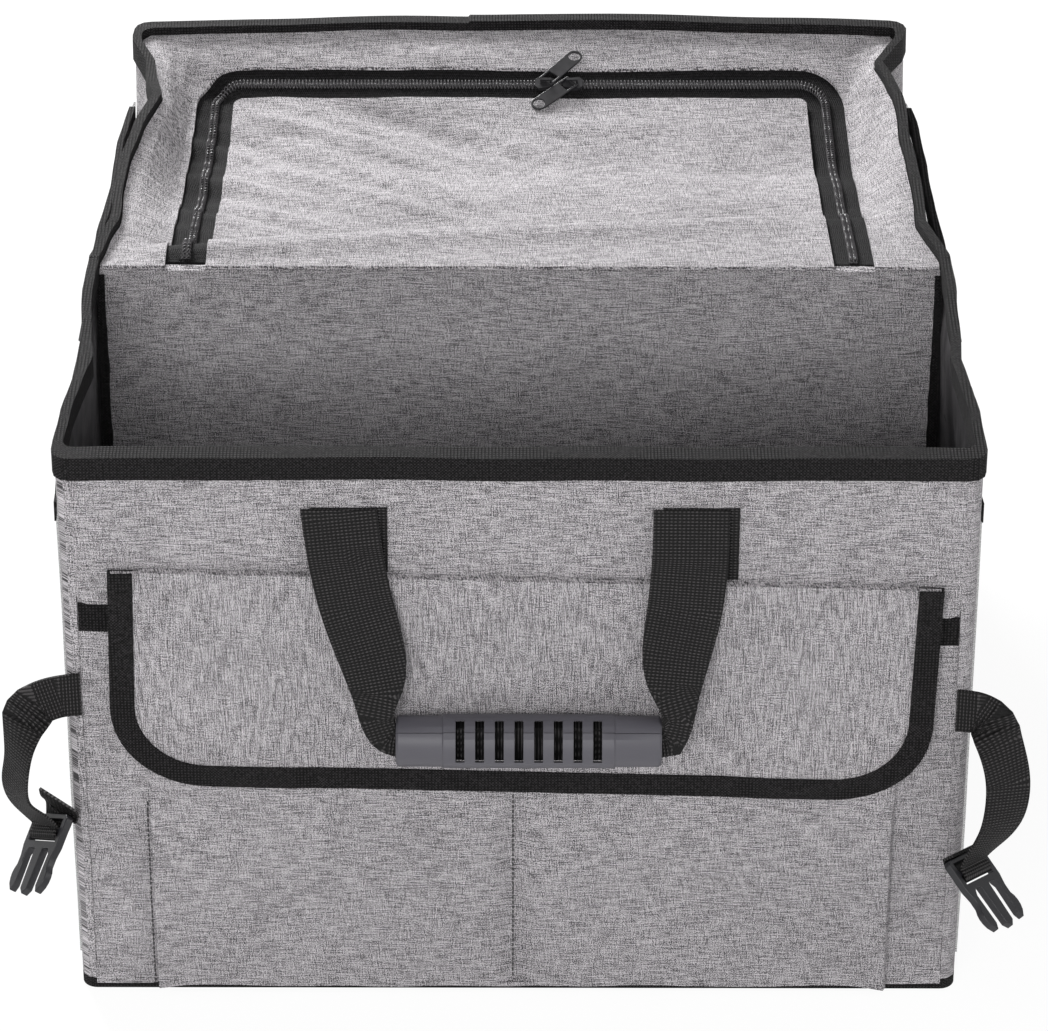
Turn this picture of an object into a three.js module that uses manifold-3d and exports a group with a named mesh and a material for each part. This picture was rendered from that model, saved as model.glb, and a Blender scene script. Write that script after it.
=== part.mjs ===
// A fabric trunk organizer: a soft-sided box with stiff front, rear, base and divider boards,
// an open front compartment and a rear compartment under a zipped lid.
// Millimetres, +Z up, +Y towards the rear. The origin is the middle of the underside.
import * as THREE from "three";
import { mergeVertices } from "three/addons/utils/BufferGeometryUtils.js";
import Module from "manifold-3d";

const wasm = await Module();
wasm.setup();

// The box
const width = 460;
const depth = 480;
const height = 328;
const cornerRadius = 8;
const seamGap = 0.3;
const frontCompartment = 192;

// Cloth, tape and board
const clothThickness = 1.2;
const bandThickness = 2;
const liningThickness = 0.8;
const boardThickness = 3;
const tapeThickness = 1.2;
const tapeDrop = 13;
const trayHeight = 6;
const trayThickness = 1.5;

// How the soft sides bend
const sideBulge = 3.5;
const lidPull = 8;
const frontCrease = 6;
const frontCreaseReach = 72;
const leftCrease = 10;
const leftCreaseInset = 88;
const leftCreaseReach = 72;
const rightCrease = 9;
const rightCreaseInset = 48;
const rightCreaseReach = 50;
const sideStart = 16;
const pullHeight = 75;
const rearTaper = 0.045;
const rearBow = 9;
const bowFoot = 120;
const bowInset = 21;

// Pocket and its flap on the front
const pocketWidth = 380;
const pocketTop = 237;
const mouthTape = 17;
const mouthSlope = 0.018;
const pleatDepth = 38;
const flapWidth = 418;
const flapTop = 258;
const flapBottom = 130.5;
const flapThickness = 2.2;
const flapCorner = 48;
const flapTape = 12.5;
const flapTapeThickness = 1.1;
const flapSkew = THREE.MathUtils.degToRad(1.4);
const flapShift = 2;

// Mesh pockets on the sides
const meshDrop = 43;
const meshBottom = 12;
const meshEndInset = 16;
const meshSwell = 2.6;
const meshThickness = 1.2;
const matClearance = 2.5;
const meshTapeDrop = 10;

// Lid and zip
const lidThickness = 2;
const lidSag = 26;
const zipHalfWidth = 180;
const zipRearGap = 32.5;
const zipCorner = 16;
const zipHalfTape = 11;
const tapeUnderlap = 3;
const coilWidth = 2;
const coilHeight = 2;
const stringerThickness = 1;

// Sliders and their pulls
const sliderLength = 12;
const sliderWidth = 9;
const sliderPlate = 1.4;
const sliderSpacing = 15;
const sliderMiddle = 22;
const pullLength = 30;
const pullWidth = 9.2;
const pullThickness = 1.2;
const pullBar = 0.55;
const pullWindow = 7;
const bailHalf = 3.2;
const bailSide = 0.8;
const bailRoom = 2.2;

// Carrying handles
const webbingWidth = 38;
const webbingThickness = 1.4;
const handleDrop = 29;
const handleSpread = 87.5;
const handleLean = 7;
const handleShift = 5;
const gripHeight = 172;
const gripLength = 134;
const gripRadius = 13;
const gripWall = 2.4;
const gripMiddle = 86;
const gripStep = 0.7;
const gripSides = 24;
const gripSlots = 8;
const slotPitch = 9.9;
const slotWidth = 4.5;
const slotHeight = 21;
const partingTurn = THREE.MathUtils.degToRad(52);
const slotTurn = THREE.MathUtils.degToRad(20);

// Closing straps and their buckles
const strapWidth = 25;
const strapThickness = 1.4;
const socketHeight = 187;
const leftStrapHeight = 187;
const rightStrapHeight = 178;
const buckleWidth = 34;
const buckleThickness = 4;
const barWidth = 2.5;
const windowLength = 5;

// Sizes that follow
const halfWidth = width / 2;
const halfDepth = depth / 2;
const leftCreaseY = halfDepth - leftCreaseInset;
const rightCreaseY = halfDepth - rightCreaseInset;
const bowStart = halfDepth - bowInset;
const wallTop = height - tapeThickness - seamGap;
const meshTop = height - meshDrop;
const meshReach = halfDepth - meshEndInset;
const handleTop = height - handleDrop;
const wallFoot = trayHeight + seamGap;
const sideStack = clothThickness + seamGap + liningThickness;
const rearStack = clothThickness + boardThickness + liningThickness + 2 * seamGap;
const frontStack = bandThickness + seamGap + rearStack;
const dividerStack = 2 * clothThickness + boardThickness + 2 * seamGap;
const dividerFront = -halfDepth + frontStack + frontCompartment;
const dividerRear = dividerFront + dividerStack;
const dividerMiddle = (dividerFront + dividerRear) / 2;
const dividerTop = wallTop - 5.5;
const dividerHalfWidth = halfWidth - sideStack - 2 * seamGap - tapeThickness;
const lidBase = dividerTop + seamGap;
const lidFront = dividerFront + 1;
const lidRear = halfDepth - rearStack - 2 * seamGap - tapeThickness;
const zipRear = lidRear - zipRearGap;
const seamX = halfWidth - cornerRadius;
const skinFront = -halfDepth + bandThickness + seamGap;

const black = 0x232325;
const materials = {
  cloth: new THREE.MeshStandardMaterial({ color: 0x8f8c8e, roughness: 0.92, metalness: 0 }),
  lining: new THREE.MeshStandardMaterial({ color: 0x1d1d20, roughness: 0.45, metalness: 0 }),
  tape: new THREE.MeshStandardMaterial({ color: black, roughness: 0.85, metalness: 0 }),
  webbing: new THREE.MeshStandardMaterial({ color: 0x262527, roughness: 0.8, metalness: 0 }),
  plastic: new THREE.MeshStandardMaterial({ color: 0x3d3c42, roughness: 0.45, metalness: 0 }),
  metal: new THREE.MeshStandardMaterial({ color: 0x2c2b30, roughness: 0.35, metalness: 0.6 }),
  board: new THREE.MeshStandardMaterial({ color: 0xb9b4aa, roughness: 0.7, metalness: 0 }),
  mesh: new THREE.MeshStandardMaterial({ color: 0x2f2e30, roughness: 0.8, metalness: 0 }),
};

const organizer = new THREE.Group();

function add(name, geometry, material, parent = organizer) {
  const mesh = new THREE.Mesh(geometry, material);
  mesh.name = name;
  parent.add(mesh);
  return mesh;
}

// Closed meshes and solids
function solidOf(geometry) {
  const bare = geometry.index ? geometry.toNonIndexed() : geometry.clone();
  bare.deleteAttribute("normal");
  bare.deleteAttribute("uv");
  const merged = mergeVertices(bare, 1e-4);
  const vertProperties = merged.getAttribute("position").array;
  const triVerts = new Uint32Array(merged.index.array);
  return new wasm.Manifold(new wasm.Mesh({ numProp: 3, vertProperties, triVerts }));
}

function geometryOf(solid) {
  const mesh = solid.getMesh();
  const positions = new Float32Array(mesh.numVert * 3);
  for (let i = 0; i < mesh.numVert; i++) {
    const from = i * mesh.numProp;
    positions.set(mesh.vertProperties.subarray(from, from + 3), i * 3);
  }
  return new THREE.BufferGeometry()
    .setAttribute("position", new THREE.BufferAttribute(positions, 3))
    .setIndex(new THREE.BufferAttribute(new Uint32Array(mesh.triVerts), 1));
}

const cut = (geometry, ...tools) =>
  geometryOf(tools.reduce((solid, tool) => solid.subtract(solidOf(tool)), solidOf(geometry)));
const join = (geometry, ...others) =>
  geometryOf(others.reduce((solid, other) => solid.add(solidOf(other)), solidOf(geometry)));
const common = (geometry, other) => geometryOf(solidOf(geometry).intersect(solidOf(other)));

function signedVolume(geometry) {
  const flat = geometry.index ? geometry.toNonIndexed() : geometry;
  const at = flat.getAttribute("position");
  const [a, b, c] = [new THREE.Vector3(), new THREE.Vector3(), new THREE.Vector3()];
  let sum = 0;
  for (let i = 0; i < at.count; i += 3) {
    a.fromBufferAttribute(at, i);
    b.fromBufferAttribute(at, i + 1);
    c.fromBufferAttribute(at, i + 2);
    sum += a.dot(b.cross(c));
  }
  return sum / 6;
}

// Moves every vertex to place(vertex), and turns the faces out if that mirrored them.
function moulded(geometry, place) {
  const at = geometry.getAttribute("position");
  for (let i = 0; i < at.count; i++) {
    const p = place(new THREE.Vector3().fromBufferAttribute(at, i));
    at.setXYZ(i, p.x, p.y, p.z);
  }
  if (signedVolume(geometry) < 0) {
    if (!geometry.index) geometry.setIndex([...Array(at.count).keys()]);
    const index = geometry.index.array;
    for (let i = 0; i < index.length; i += 3) [index[i], index[i + 1]] = [index[i + 1], index[i]];
  }
  return geometry;
}

// A thin sheet: place(along, up, face) gives a point for each pair of stations, face 0 or 1.
function sheet(along, up, place) {
  const box = new THREE.BoxGeometry(1, 1, 1, along.length - 1, up.length - 1, 1);
  const { start, count } = box.groups.at(-1);
  const index = box.index.array;
  for (let i = start; i < start + count; i += 6) {
    const [a, b, d, , c] = index.subarray(i, i + 6);
    index.set([a, b, c, a, c, d], i);
  }
  const pick = (list, share) => list[Math.round((share + 0.5) * (list.length - 1))];
  return moulded(box, (p) => place(pick(along, p.x), pick(up, p.y), p.z > 0 ? 1 : 0));
}

// A section swept along stations: place(station, x, y) for each corner of the section.
function swept(corners, stations, place) {
  const section = new THREE.Shape(corners.map(([x, y]) => new THREE.Vector2(x, y)));
  const bar = new THREE.ExtrudeGeometry(section, {
    depth: 1,
    steps: stations.length - 1,
    bevelEnabled: false,
  });
  const last = stations.length - 1;
  return moulded(bar, (p) => place(stations[Math.round(p.z * last)], p.x, p.y));
}

function block(x0, x1, y0, y1, z0, z1) {
  return new THREE.BoxGeometry(x1 - x0, y1 - y0, z1 - z0).translate(
    (x0 + x1) / 2,
    (y0 + y1) / 2,
    (z0 + z1) / 2,
  );
}

function prism(shape, z0, z1, curveSegments = 4) {
  const made = new THREE.ExtrudeGeometry(shape, { depth: z1 - z0, bevelEnabled: false, curveSegments });
  return made.translate(0, 0, z0);
}

// A shape drawn in X and Z, extruded from y0 towards +Y.
function upright(shape, y0, thickness, curveSegments = 6) {
  const made = new THREE.ExtrudeGeometry(shape, { depth: thickness, bevelEnabled: false, curveSegments });
  return made.rotateX(Math.PI / 2).translate(0, y0 + thickness, 0);
}

function roundedRectangle(halfX, halfY, radius) {
  const shape = new THREE.Shape();
  shape.absarc(halfX - radius, halfY - radius, radius, 0, Math.PI / 2);
  shape.absarc(-halfX + radius, halfY - radius, radius, Math.PI / 2, Math.PI);
  shape.absarc(-halfX + radius, -halfY + radius, radius, Math.PI, 1.5 * Math.PI);
  shape.absarc(halfX - radius, -halfY + radius, radius, 1.5 * Math.PI, 2 * Math.PI);
  shape.closePath();
  return shape;
}

const span = (from, to, count) =>
  Array.from({ length: count + 1 }, (_, i) => from + ((to - from) * i) / count);
const smooth = THREE.MathUtils.smoothstep;
const lerp = THREE.MathUtils.lerp;

// The soft sides: how far a point of the side stands in from the straight wall
function fold(y, middle, reach) {
  const away = Math.abs(y - middle) / reach;
  return away < 1 ? (1 - away) ** 1.5 : 0;
}

const frontMiddle = (-halfDepth + dividerFront) / 2;

function inwards(hand, y, z) {
  const heldByLid = smooth(y, dividerRear, dividerRear + 36) * (1 - smooth(y, halfDepth - 50, halfDepth - sideStart));
  const rearFold =
    hand < 0
      ? leftCrease * fold(y, leftCreaseY, leftCreaseReach)
      : rightCrease * fold(y, rightCreaseY, rightCreaseReach);
  const atRim = lidPull * heldByLid + frontCrease * fold(y, frontMiddle, frontCreaseReach) + rearFold;
  const nearRim = smooth(z, wallTop - pullHeight, wallTop - tapeDrop);
  const [from, to] = y < dividerMiddle ? [-halfDepth, dividerMiddle] : [dividerMiddle, halfDepth];
  const across = Math.sin((Math.PI * (y - from)) / (to - from)) ** 2;
  const bulge = sideBulge * across * Math.sin((Math.PI * z) / wallTop);
  return Math.abs(y) < halfDepth - cornerRadius ? atRim * nearRim - bulge : 0;
}

// The made box narrows towards the rear rim, and its rear wall bows out there.
function settled(p) {
  const back = Math.max(p.y + halfDepth, 0) / depth;
  const bow = smooth(p.z, bowFoot, height) * Math.max(Math.cos((Math.PI * p.x) / (2 * seamX)), 0);
  const shift = rearBow * bow * THREE.MathUtils.clamp((p.y - bowStart) / (lidRear - bowStart), 0, 1);
  return new THREE.Vector3(p.x * (1 - (rearTaper * back * p.z) / height), p.y + shift, p.z);
}
const settle = (geometry) => moulded(geometry, settled);

// A layer of the wall is a rounded rectangle in plan. Its side follows the soft side's bends.
const layer = (halfX, halfY, radius) => ({ halfX, halfY, radius });
const skinOut = layer(halfWidth, halfDepth, cornerRadius);
const skinIn = layer(halfWidth - clothThickness, halfDepth - clothThickness, cornerRadius - clothThickness);

function stackLayer(inset, stack) {
  return layer(halfWidth - sideStack + inset, halfDepth - stack + inset, cornerRadius - liningThickness + inset);
}

// hand is -1 at the left and 1 at the right, end is -1 at the front and 1 at the rear.
const onSide = (hand, y) => ({ hand, y });
const onCorner = (hand, end, turn) => ({ hand, end, turn });
const onEnd = (end, x) => ({ end, x });

function wallPoint(station, z, { halfX, halfY, radius }) {
  if (station.x !== undefined) return new THREE.Vector3(station.x, station.end * halfY, z);
  if (station.turn === undefined) {
    return new THREE.Vector3(station.hand * (halfX - inwards(station.hand, station.y, z)), station.y, z);
  }
  const y = station.end * (halfY - radius + radius * Math.sin(station.turn));
  const x = halfX - radius + radius * Math.cos(station.turn);
  return new THREE.Vector3(station.hand * (x - inwards(station.hand, y, z)), y, z);
}

const quarter = span(0, Math.PI / 2, 3);
const frontSideY = [
  ...span(-halfDepth + sideStart, frontMiddle, 3),
  ...span(frontMiddle, dividerFront - seamGap, 3).slice(1),
];
const rearSideY = [
  ...span(dividerRear + seamGap, leftCreaseY, 5),
  ...span(leftCreaseY, rightCreaseY, 2).slice(1),
  bowStart,
  halfDepth - sideStart,
];

// The base: a cloth tray with a loose board and a floor cloth
const base = new THREE.Group();
organizer.add(base);
const trayOutline = roundedRectangle(halfWidth, halfDepth, cornerRadius);
const trayHollow = roundedRectangle(
  halfWidth - trayThickness,
  halfDepth - trayThickness,
  cornerRadius - trayThickness,
);
const boardInset = trayThickness + seamGap;
const boardOutline = roundedRectangle(
  halfWidth - boardInset,
  halfDepth - boardInset,
  cornerRadius - boardInset,
);
const boardTop = trayThickness + seamGap + boardThickness;
add(
  "base_cloth",
  cut(prism(trayOutline, 0, trayHeight), prism(trayHollow, trayThickness, trayHeight + 1)),
  materials.tape,
  base,
);
add("base_board", prism(boardOutline, trayThickness + seamGap, boardTop), materials.board, base);

// Walls
const walls = new THREE.Group();
organizer.add(walls);
const panelHalf = seamX - 0.5;
const linedFoot = wallFoot + seamGap;

add(
  "front_panel",
  block(-panelHalf, panelHalf, skinFront, skinFront + clothThickness, wallFoot, wallTop),
  materials.cloth,
  walls,
);
const frontBoardY = skinFront + clothThickness + seamGap;
add(
  "front_board",
  block(-panelHalf, panelHalf, frontBoardY, frontBoardY + boardThickness, linedFoot, wallTop),
  materials.board,
  walls,
);
const bandShape = new THREE.Shape();
const bandFoot = pocketTop;
const bandCorner = 6;
bandShape.moveTo(-panelHalf, wallTop);
bandShape.lineTo(-panelHalf, bandFoot + bandCorner);
bandShape.absarc(-panelHalf + bandCorner, bandFoot + bandCorner, bandCorner, Math.PI, 1.5 * Math.PI);
bandShape.absarc(panelHalf - bandCorner, bandFoot + bandCorner, bandCorner, 1.5 * Math.PI, 2 * Math.PI);
bandShape.lineTo(panelHalf, wallTop);
bandShape.closePath();
// The pocket's mouth and the band's foot run down a little to the right.
const sloped = (p) => new THREE.Vector3(p.x, p.y, p.z - (p.z > wallTop / 2 && p.z < wallTop ? mouthSlope * p.x : 0));
const band = upright(bandShape, -halfDepth, bandThickness, 3);
add("front_band", moulded(band, sloped), materials.cloth, walls);

const skinLevels = [wallFoot, 90, 175, wallTop - pullHeight, wallTop - 45, wallTop - tapeDrop, wallTop];
const bowX = span(-panelHalf, panelHalf, 8);
const boardLevels = [linedFoot, ...skinLevels.slice(1)];
function rearSheet(levels, y, thickness) {
  return settle(sheet(bowX, levels, (x, z, face) => new THREE.Vector3(x, y + face * thickness, z)));
}
const rearBoardY = halfDepth - clothThickness - seamGap - boardThickness;
add("rear_panel", rearSheet(skinLevels, halfDepth - clothThickness, clothThickness), materials.cloth, walls);
add("rear_board", rearSheet(boardLevels, rearBoardY, boardThickness), materials.board, walls);

function sidePanel(hand) {
  const stations = [
    ...quarter.map((turn) => onCorner(hand, -1, turn)).reverse(),
    ...frontSideY.map((y) => onSide(hand, y)),
    ...rearSideY.map((y) => onSide(hand, y)),
    ...quarter.map((turn) => onCorner(hand, 1, turn)),
  ];
  const ordered = hand < 0 ? stations : stations.reverse();
  return settle(sheet(ordered, skinLevels, (station, z, face) => wallPoint(station, z, face ? skinOut : skinIn)));
}
add("left_side_panel", sidePanel(-1), materials.cloth, walls);
add("right_side_panel", sidePanel(1), materials.cloth, walls);

// Each compartment's lining is one folded cloth: a side, the end wall and the other side
function liningStations(end, sideY) {
  const side = (hand) => sideY.map((y) => onSide(hand, y));
  const corner = (hand) => quarter.map((turn) => onCorner(hand, end, turn));
  const wall = bowX.slice(1, -1).map((x) => onEnd(end, end * x));
  return [...side(-end), ...corner(-end), ...wall, ...corner(end).reverse(), ...side(end).reverse()];
}

function lining(end, sideY, stack) {
  const inner = stackLayer(0, stack);
  const outer = stackLayer(liningThickness, stack);
  const stations = liningStations(end, sideY);
  return settle(sheet(stations, boardLevels, (station, z, face) => wallPoint(station, z, face ? outer : inner)));
}
add("front_lining", lining(-1, [...frontSideY].reverse(), frontStack), materials.lining, walls);
add("rear_lining", lining(1, rearSideY, rearStack), materials.lining, walls);

// The divider: a board in a cloth sleeve that is open at the foot
const sleeve = block(-dividerHalfWidth, dividerHalfWidth, dividerFront, dividerRear, linedFoot, dividerTop);
const sleeveRoom = block(
  -dividerHalfWidth + clothThickness,
  dividerHalfWidth - clothThickness,
  dividerFront + clothThickness,
  dividerRear - clothThickness,
  linedFoot - 1,
  dividerTop - clothThickness,
);
add("divider_cover", settle(cut(sleeve, sleeveRoom)), materials.cloth, walls);

// Each compartment has its own floor lining, a flat mat that lies clear of the walls' feet.
const floorFoot = boardTop + seamGap;
const floorTop = floorFoot + liningThickness;
function floorMat(stack, near, far) {
  const halfX = stackLayer(0, stack).halfX - matClearance;
  return block(-halfX, halfX, near, far, floorFoot, floorTop);
}
const matFront = -stackLayer(0, frontStack).halfY + matClearance;
const matRear = stackLayer(0, rearStack).halfY - matClearance;
add("front_floor_lining", floorMat(frontStack, matFront, dividerFront - 1), materials.lining, base);
add("rear_floor_lining", floorMat(rearStack, dividerRear + 1, matRear), materials.lining, base);
const dividerBoardInset = clothThickness + seamGap;
const dividerBoard = block(
  -dividerHalfWidth + dividerBoardInset,
  dividerHalfWidth - dividerBoardInset,
  dividerFront + dividerBoardInset,
  dividerRear - dividerBoardInset,
  linedFoot,
  dividerTop - dividerBoardInset,
);
add("divider_board", settle(dividerBoard), materials.board, walls);

// Rim binding: a tape folded over the top edge. Its section's x counts the tape's four faces.
function rimTape(end, sideY, stack) {
  const faces = [
    layer(halfWidth + seamGap + tapeThickness, halfDepth + seamGap + tapeThickness, cornerRadius + 1.5),
    layer(halfWidth + seamGap, halfDepth + seamGap, cornerRadius + seamGap),
    stackLayer(-seamGap, stack),
    stackLayer(-seamGap - tapeThickness, stack),
  ];
  const foot = height - tapeDrop;
  const ceiling = height - tapeThickness;
  const section = [
    [0, foot],
    [1, foot],
    [1, ceiling],
    [2, ceiling],
    [2, foot],
    [3, foot],
    [3, height],
    [0, height],
  ];
  const place = (station, face, z) => wallPoint(station, z, faces[Math.round(face)]);
  return settle(swept(section, liningStations(end, sideY), place));
}
const frontRimY = [dividerMiddle - seamGap / 2, ...[...frontSideY].reverse()];
const rearRimY = [dividerMiddle + seamGap / 2, ...rearSideY];
add("front_rim_binding", rimTape(-1, frontRimY, frontStack), materials.tape, walls);
add("rear_rim_binding", rimTape(1, rearRimY, rearStack), materials.tape, walls);

// The front pocket: one cloth with a bellows pleat at each side and a seam down the middle
const front = new THREE.Group();
organizer.add(front);
const foldPitch = 1 + seamGap;
const pocketY = (layerNumber) => skinFront - seamGap - 1 - layerNumber * foldPitch;
const pocketHalf = pocketWidth / 2;
const pocketShift = 2;

// Half of the folded cloth in plan, from the side seam to the middle seam, and back
function foldedHalf(hand) {
  const seam = hand * panelHalf;
  const pleatOut = hand * pocketHalf + pocketShift;
  const pleatIn = hand * (pocketHalf - pleatDepth) + pocketShift;
  const middle = -pocketShift + hand * 2.5;
  const [y0, y1, y2] = [pocketY(0), pocketY(1), pocketY(2)];
  return {
    outer: [
      [seam, y0],
      [pleatIn - hand * 1, y0],
      [pleatIn - hand * 1, y1 + 1],
      [pleatOut + hand * 1, y1 + 1],
      [pleatOut + hand * 1, y2],
      [middle + hand * 8, y2],
      [middle, y0],
    ],
    inner: [
      [seam, y0 + 1],
      [pleatIn - hand * 2, y0 + 1],
      [pleatIn - hand * 2, y1],
      [pleatOut, y1],
      [pleatOut, y2 + 1],
      [middle + hand * 9, y2 + 1],
      [middle + hand * 1.2, y0 + 1],
    ],
  };
}

function foldedCloth(z0, z1) {
  const left = foldedHalf(-1);
  const right = foldedHalf(1);
  const ring = [...left.outer, ...right.outer.reverse(), ...right.inner, ...left.inner.reverse()];
  return prism(new THREE.Shape(ring.map(([x, y]) => new THREE.Vector2(x, y))), z0, z1);
}
const mouthFoot = pocketTop - mouthTape;
const pocketFoot = block(
  -pocketHalf + pocketShift,
  pocketHalf + pocketShift,
  pocketY(2),
  pocketY(0) + 1,
  wallFoot,
  wallFoot + 2,
);
const pocketCloth = join(foldedCloth(wallFoot, mouthFoot), pocketFoot);
add("front_pocket", moulded(pocketCloth, sloped), materials.cloth, front);
const mouthCloth = foldedCloth(mouthFoot + seamGap, pocketTop - seamGap);
add("pocket_mouth_binding", moulded(mouthCloth, sloped), materials.tape, front);

// The pocket flap, sewn on slightly askew, and the tape round its free edges
const flap = new THREE.Group();
const flapMiddle = (flapTop + flapBottom) / 2;
flap.position.set(flapShift, 0, flapMiddle);
flap.rotation.y = flapSkew;
front.add(flap);
const flapHalf = flapWidth / 2;
const flapRise = (flapTop - flapBottom) / 2;
const flapBack = pocketY(2) - seamGap - 0.8 - seamGap;

function flapOutline(grow) {
  const x = flapHalf + grow;
  const r = flapCorner + grow;
  const foot = -flapRise - grow;
  const shape = new THREE.Shape();
  shape.moveTo(-x, flapRise);
  shape.lineTo(-x, foot + r);
  shape.absarc(-x + r, foot + r, r, Math.PI, 1.5 * Math.PI);
  shape.absarc(x - r, foot + r, r, 1.5 * Math.PI, 2 * Math.PI);
  shape.lineTo(x, flapRise);
  shape.closePath();
  return shape;
}
const flapPlate = upright(flapOutline(-1.5), flapBack - flapThickness, flapThickness, 8);
const hem = block(-flapHalf + 14, flapHalf - 14, flapBack - 0.2, -halfDepth - seamGap, flapRise - 8, flapRise);
add("pocket_flap", join(flapPlate, hem), materials.cloth, flap);
const flapTapeSolid = upright(
  flapOutline(0),
  flapBack - flapThickness - flapTapeThickness,
  flapThickness + 2 * flapTapeThickness,
  8,
);
const flapWindow = upright(flapOutline(-flapTape), flapBack - flapThickness - 5, flapThickness + 10, 8);
const flapRoom = upright(flapOutline(-1.5 + seamGap), flapBack - flapThickness - seamGap, flapThickness + 2 * seamGap, 8);
const flapCrown = block(
  -flapHalf + flapTape,
  flapHalf - flapTape,
  flapBack - flapThickness - 5,
  flapBack + 5,
  flapRise - 1,
  flapRise + 1,
);
const flapSlot = block(
  -flapHalf + 1.2,
  flapHalf - 1.2,
  flapBack - flapThickness - seamGap,
  flapBack + seamGap,
  flapRise - 1,
  flapRise + 1,
);
add("pocket_flap_binding", cut(flapTapeSolid, flapWindow, flapRoom, flapCrown, flapSlot), materials.tape, flap);

// Mesh pockets: a pouch on each side, sewn at its two ends and its foot
const sides = new THREE.Group();
organizer.add(sides);
const meshTapeReach = meshReach - 8;
const meshTapeY = span(-meshTapeReach, meshTapeReach, 10);
const meshY = [-meshReach, ...meshTapeY, meshReach];
const meshFull = 195;
const meshLevels = [...span(meshBottom, meshFull, 3), wallTop - pullHeight - 1, meshTop - meshTapeDrop, meshTop];
function pouch(y, z) {
  const across = Math.sin((Math.PI * (y + meshReach)) / (2 * meshReach)) ** 0.5 || 0;
  return meshSwell * across * smooth(z, meshBottom, meshFull);
}
function meshPoint(hand, y, z, out) {
  const sideX = halfWidth - inwards(hand, y, Math.min(z, wallTop - pullHeight - 1));
  return new THREE.Vector3(hand * (sideX + seamGap + 0.3 + pouch(y, z) + out), y, z);
}
for (const [name, hand] of [
  ["left", -1],
  ["right", 1],
]) {
  const pouchCloth = sheet(meshY, meshLevels, (y, z, face) => meshPoint(hand, y, z, face * meshThickness));
  add(`${name}_mesh_pocket`, settle(pouchCloth), materials.mesh, sides);
  const lip = meshTop + seamGap;
  const low = meshTop - meshTapeDrop;
  const faceAt = [-seamGap - 0.9, -seamGap, meshThickness + seamGap, meshThickness + seamGap + 0.9];
  const section = [
    [0, low],
    [1, low],
    [1, lip],
    [2, lip],
    [2, low],
    [3, low],
    [3, lip + 0.9],
    [0, lip + 0.9],
  ];
  const place = (y, face, z) => meshPoint(hand, y, z, faceAt[Math.round(face)]);
  add(`${name}_mesh_binding`, settle(swept(section, meshTapeY, place)), materials.tape, sides);
}

// The lid's surface: it hangs a little between the zip's three sides
const rimEdge = stackLayer(-seamGap - tapeThickness, rearStack);
function rimInner(hand, y) {
  const intoCorner = Math.max(y - rimEdge.halfY + rimEdge.radius, 0);
  const corner = rimEdge.radius - Math.sqrt(rimEdge.radius ** 2 - intoCorner ** 2);
  return rimEdge.halfX - corner - inwards(hand, y, wallTop) - 2 * seamGap;
}
const sagLine = zipHalfWidth + zipHalfTape + 2;
function lidZ(x, y) {
  const share = THREE.MathUtils.clamp((y - rearSideY[0]) / (lidRear - rearSideY[0]), 0, 1);
  const level = 1 - smooth(Math.abs(x), sagLine, rimInner(Math.sign(x), y) - 1);
  return lidBase - lidSag * Math.sin(Math.PI * share ** 1.5) * level;
}
const lidY = [lidFront, ...rearSideY, rimEdge.halfY - rimEdge.radius, lidRear];
const lidAcross = [-2, -1.7, -1.4, -1.1, -1, -0.5, 0, 0.5, 1, 1.1, 1.4, 1.7, 2];
function lidSheet(low, high) {
  return sheet(lidAcross, lidY, (a, y, face) => {
    const rim = rimInner(Math.sign(a), y);
    const edge = Math.abs(a) <= 1 ? sagLine * Math.abs(a) : lerp(sagLine, rim, Math.abs(a) - 1);
    const x = Math.sign(a) * edge;
    return new THREE.Vector3(x, y, lidZ(x, y) + (face ? high : low));
  });
}

// A band that follows the zip's U in plan, from offset a to offset b outside its middle
function zipOutline(offset) {
  const x = zipHalfWidth + offset;
  const y = zipRear + offset;
  const r = Math.max(zipCorner + offset, 1);
  const start = lidFront - 20;
  const shape = new THREE.Shape();
  shape.moveTo(-x, start);
  shape.lineTo(x, start);
  shape.absarc(x - r, y - r, r, 0, Math.PI / 2);
  shape.absarc(-x + r, y - r, r, Math.PI / 2, Math.PI);
  shape.closePath();
  return shape;
}
const zipPrism = (offset) => prism(zipOutline(offset), lidBase - 80, lidBase + 40, 5);
const zipBand = (from, to) => cut(zipPrism(to), zipPrism(from));
const edgeGap = 0.15;

const lidGroup = new THREE.Group();
organizer.add(lidGroup);
const lidCloth = lidSheet(0, lidThickness);
add("lid_frame", settle(cut(lidCloth, zipPrism(zipHalfTape))), materials.cloth, lidGroup);
add("lid_flap", settle(common(lidCloth, zipPrism(-zipHalfTape))), materials.cloth, lidGroup);

// A stringer is one tape with its coil. It lies under the cloth's edge.
const zipFront = block(-width, width, dividerRear + 2, depth, 0, 2 * height);
function stringer(from, to, coilFrom, coilTo) {
  const top = -seamGap;
  const tape = common(lidSheet(top - stringerThickness, top), zipBand(from, to));
  const coil = common(lidSheet(top - stringerThickness / 2, top + coilHeight), zipBand(coilFrom, coilTo));
  return settle(common(join(tape, coil), zipFront));
}
const outerEdge = zipHalfTape + tapeUnderlap;
add(
  "frame_stringer",
  stringer(edgeGap, outerEdge, edgeGap, edgeGap + coilWidth),
  materials.tape,
  lidGroup,
);
add(
  "lid_stringer",
  stringer(-outerEdge, -edgeGap, -edgeGap - coilWidth, -edgeGap),
  materials.tape,
  lidGroup,
);

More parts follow.
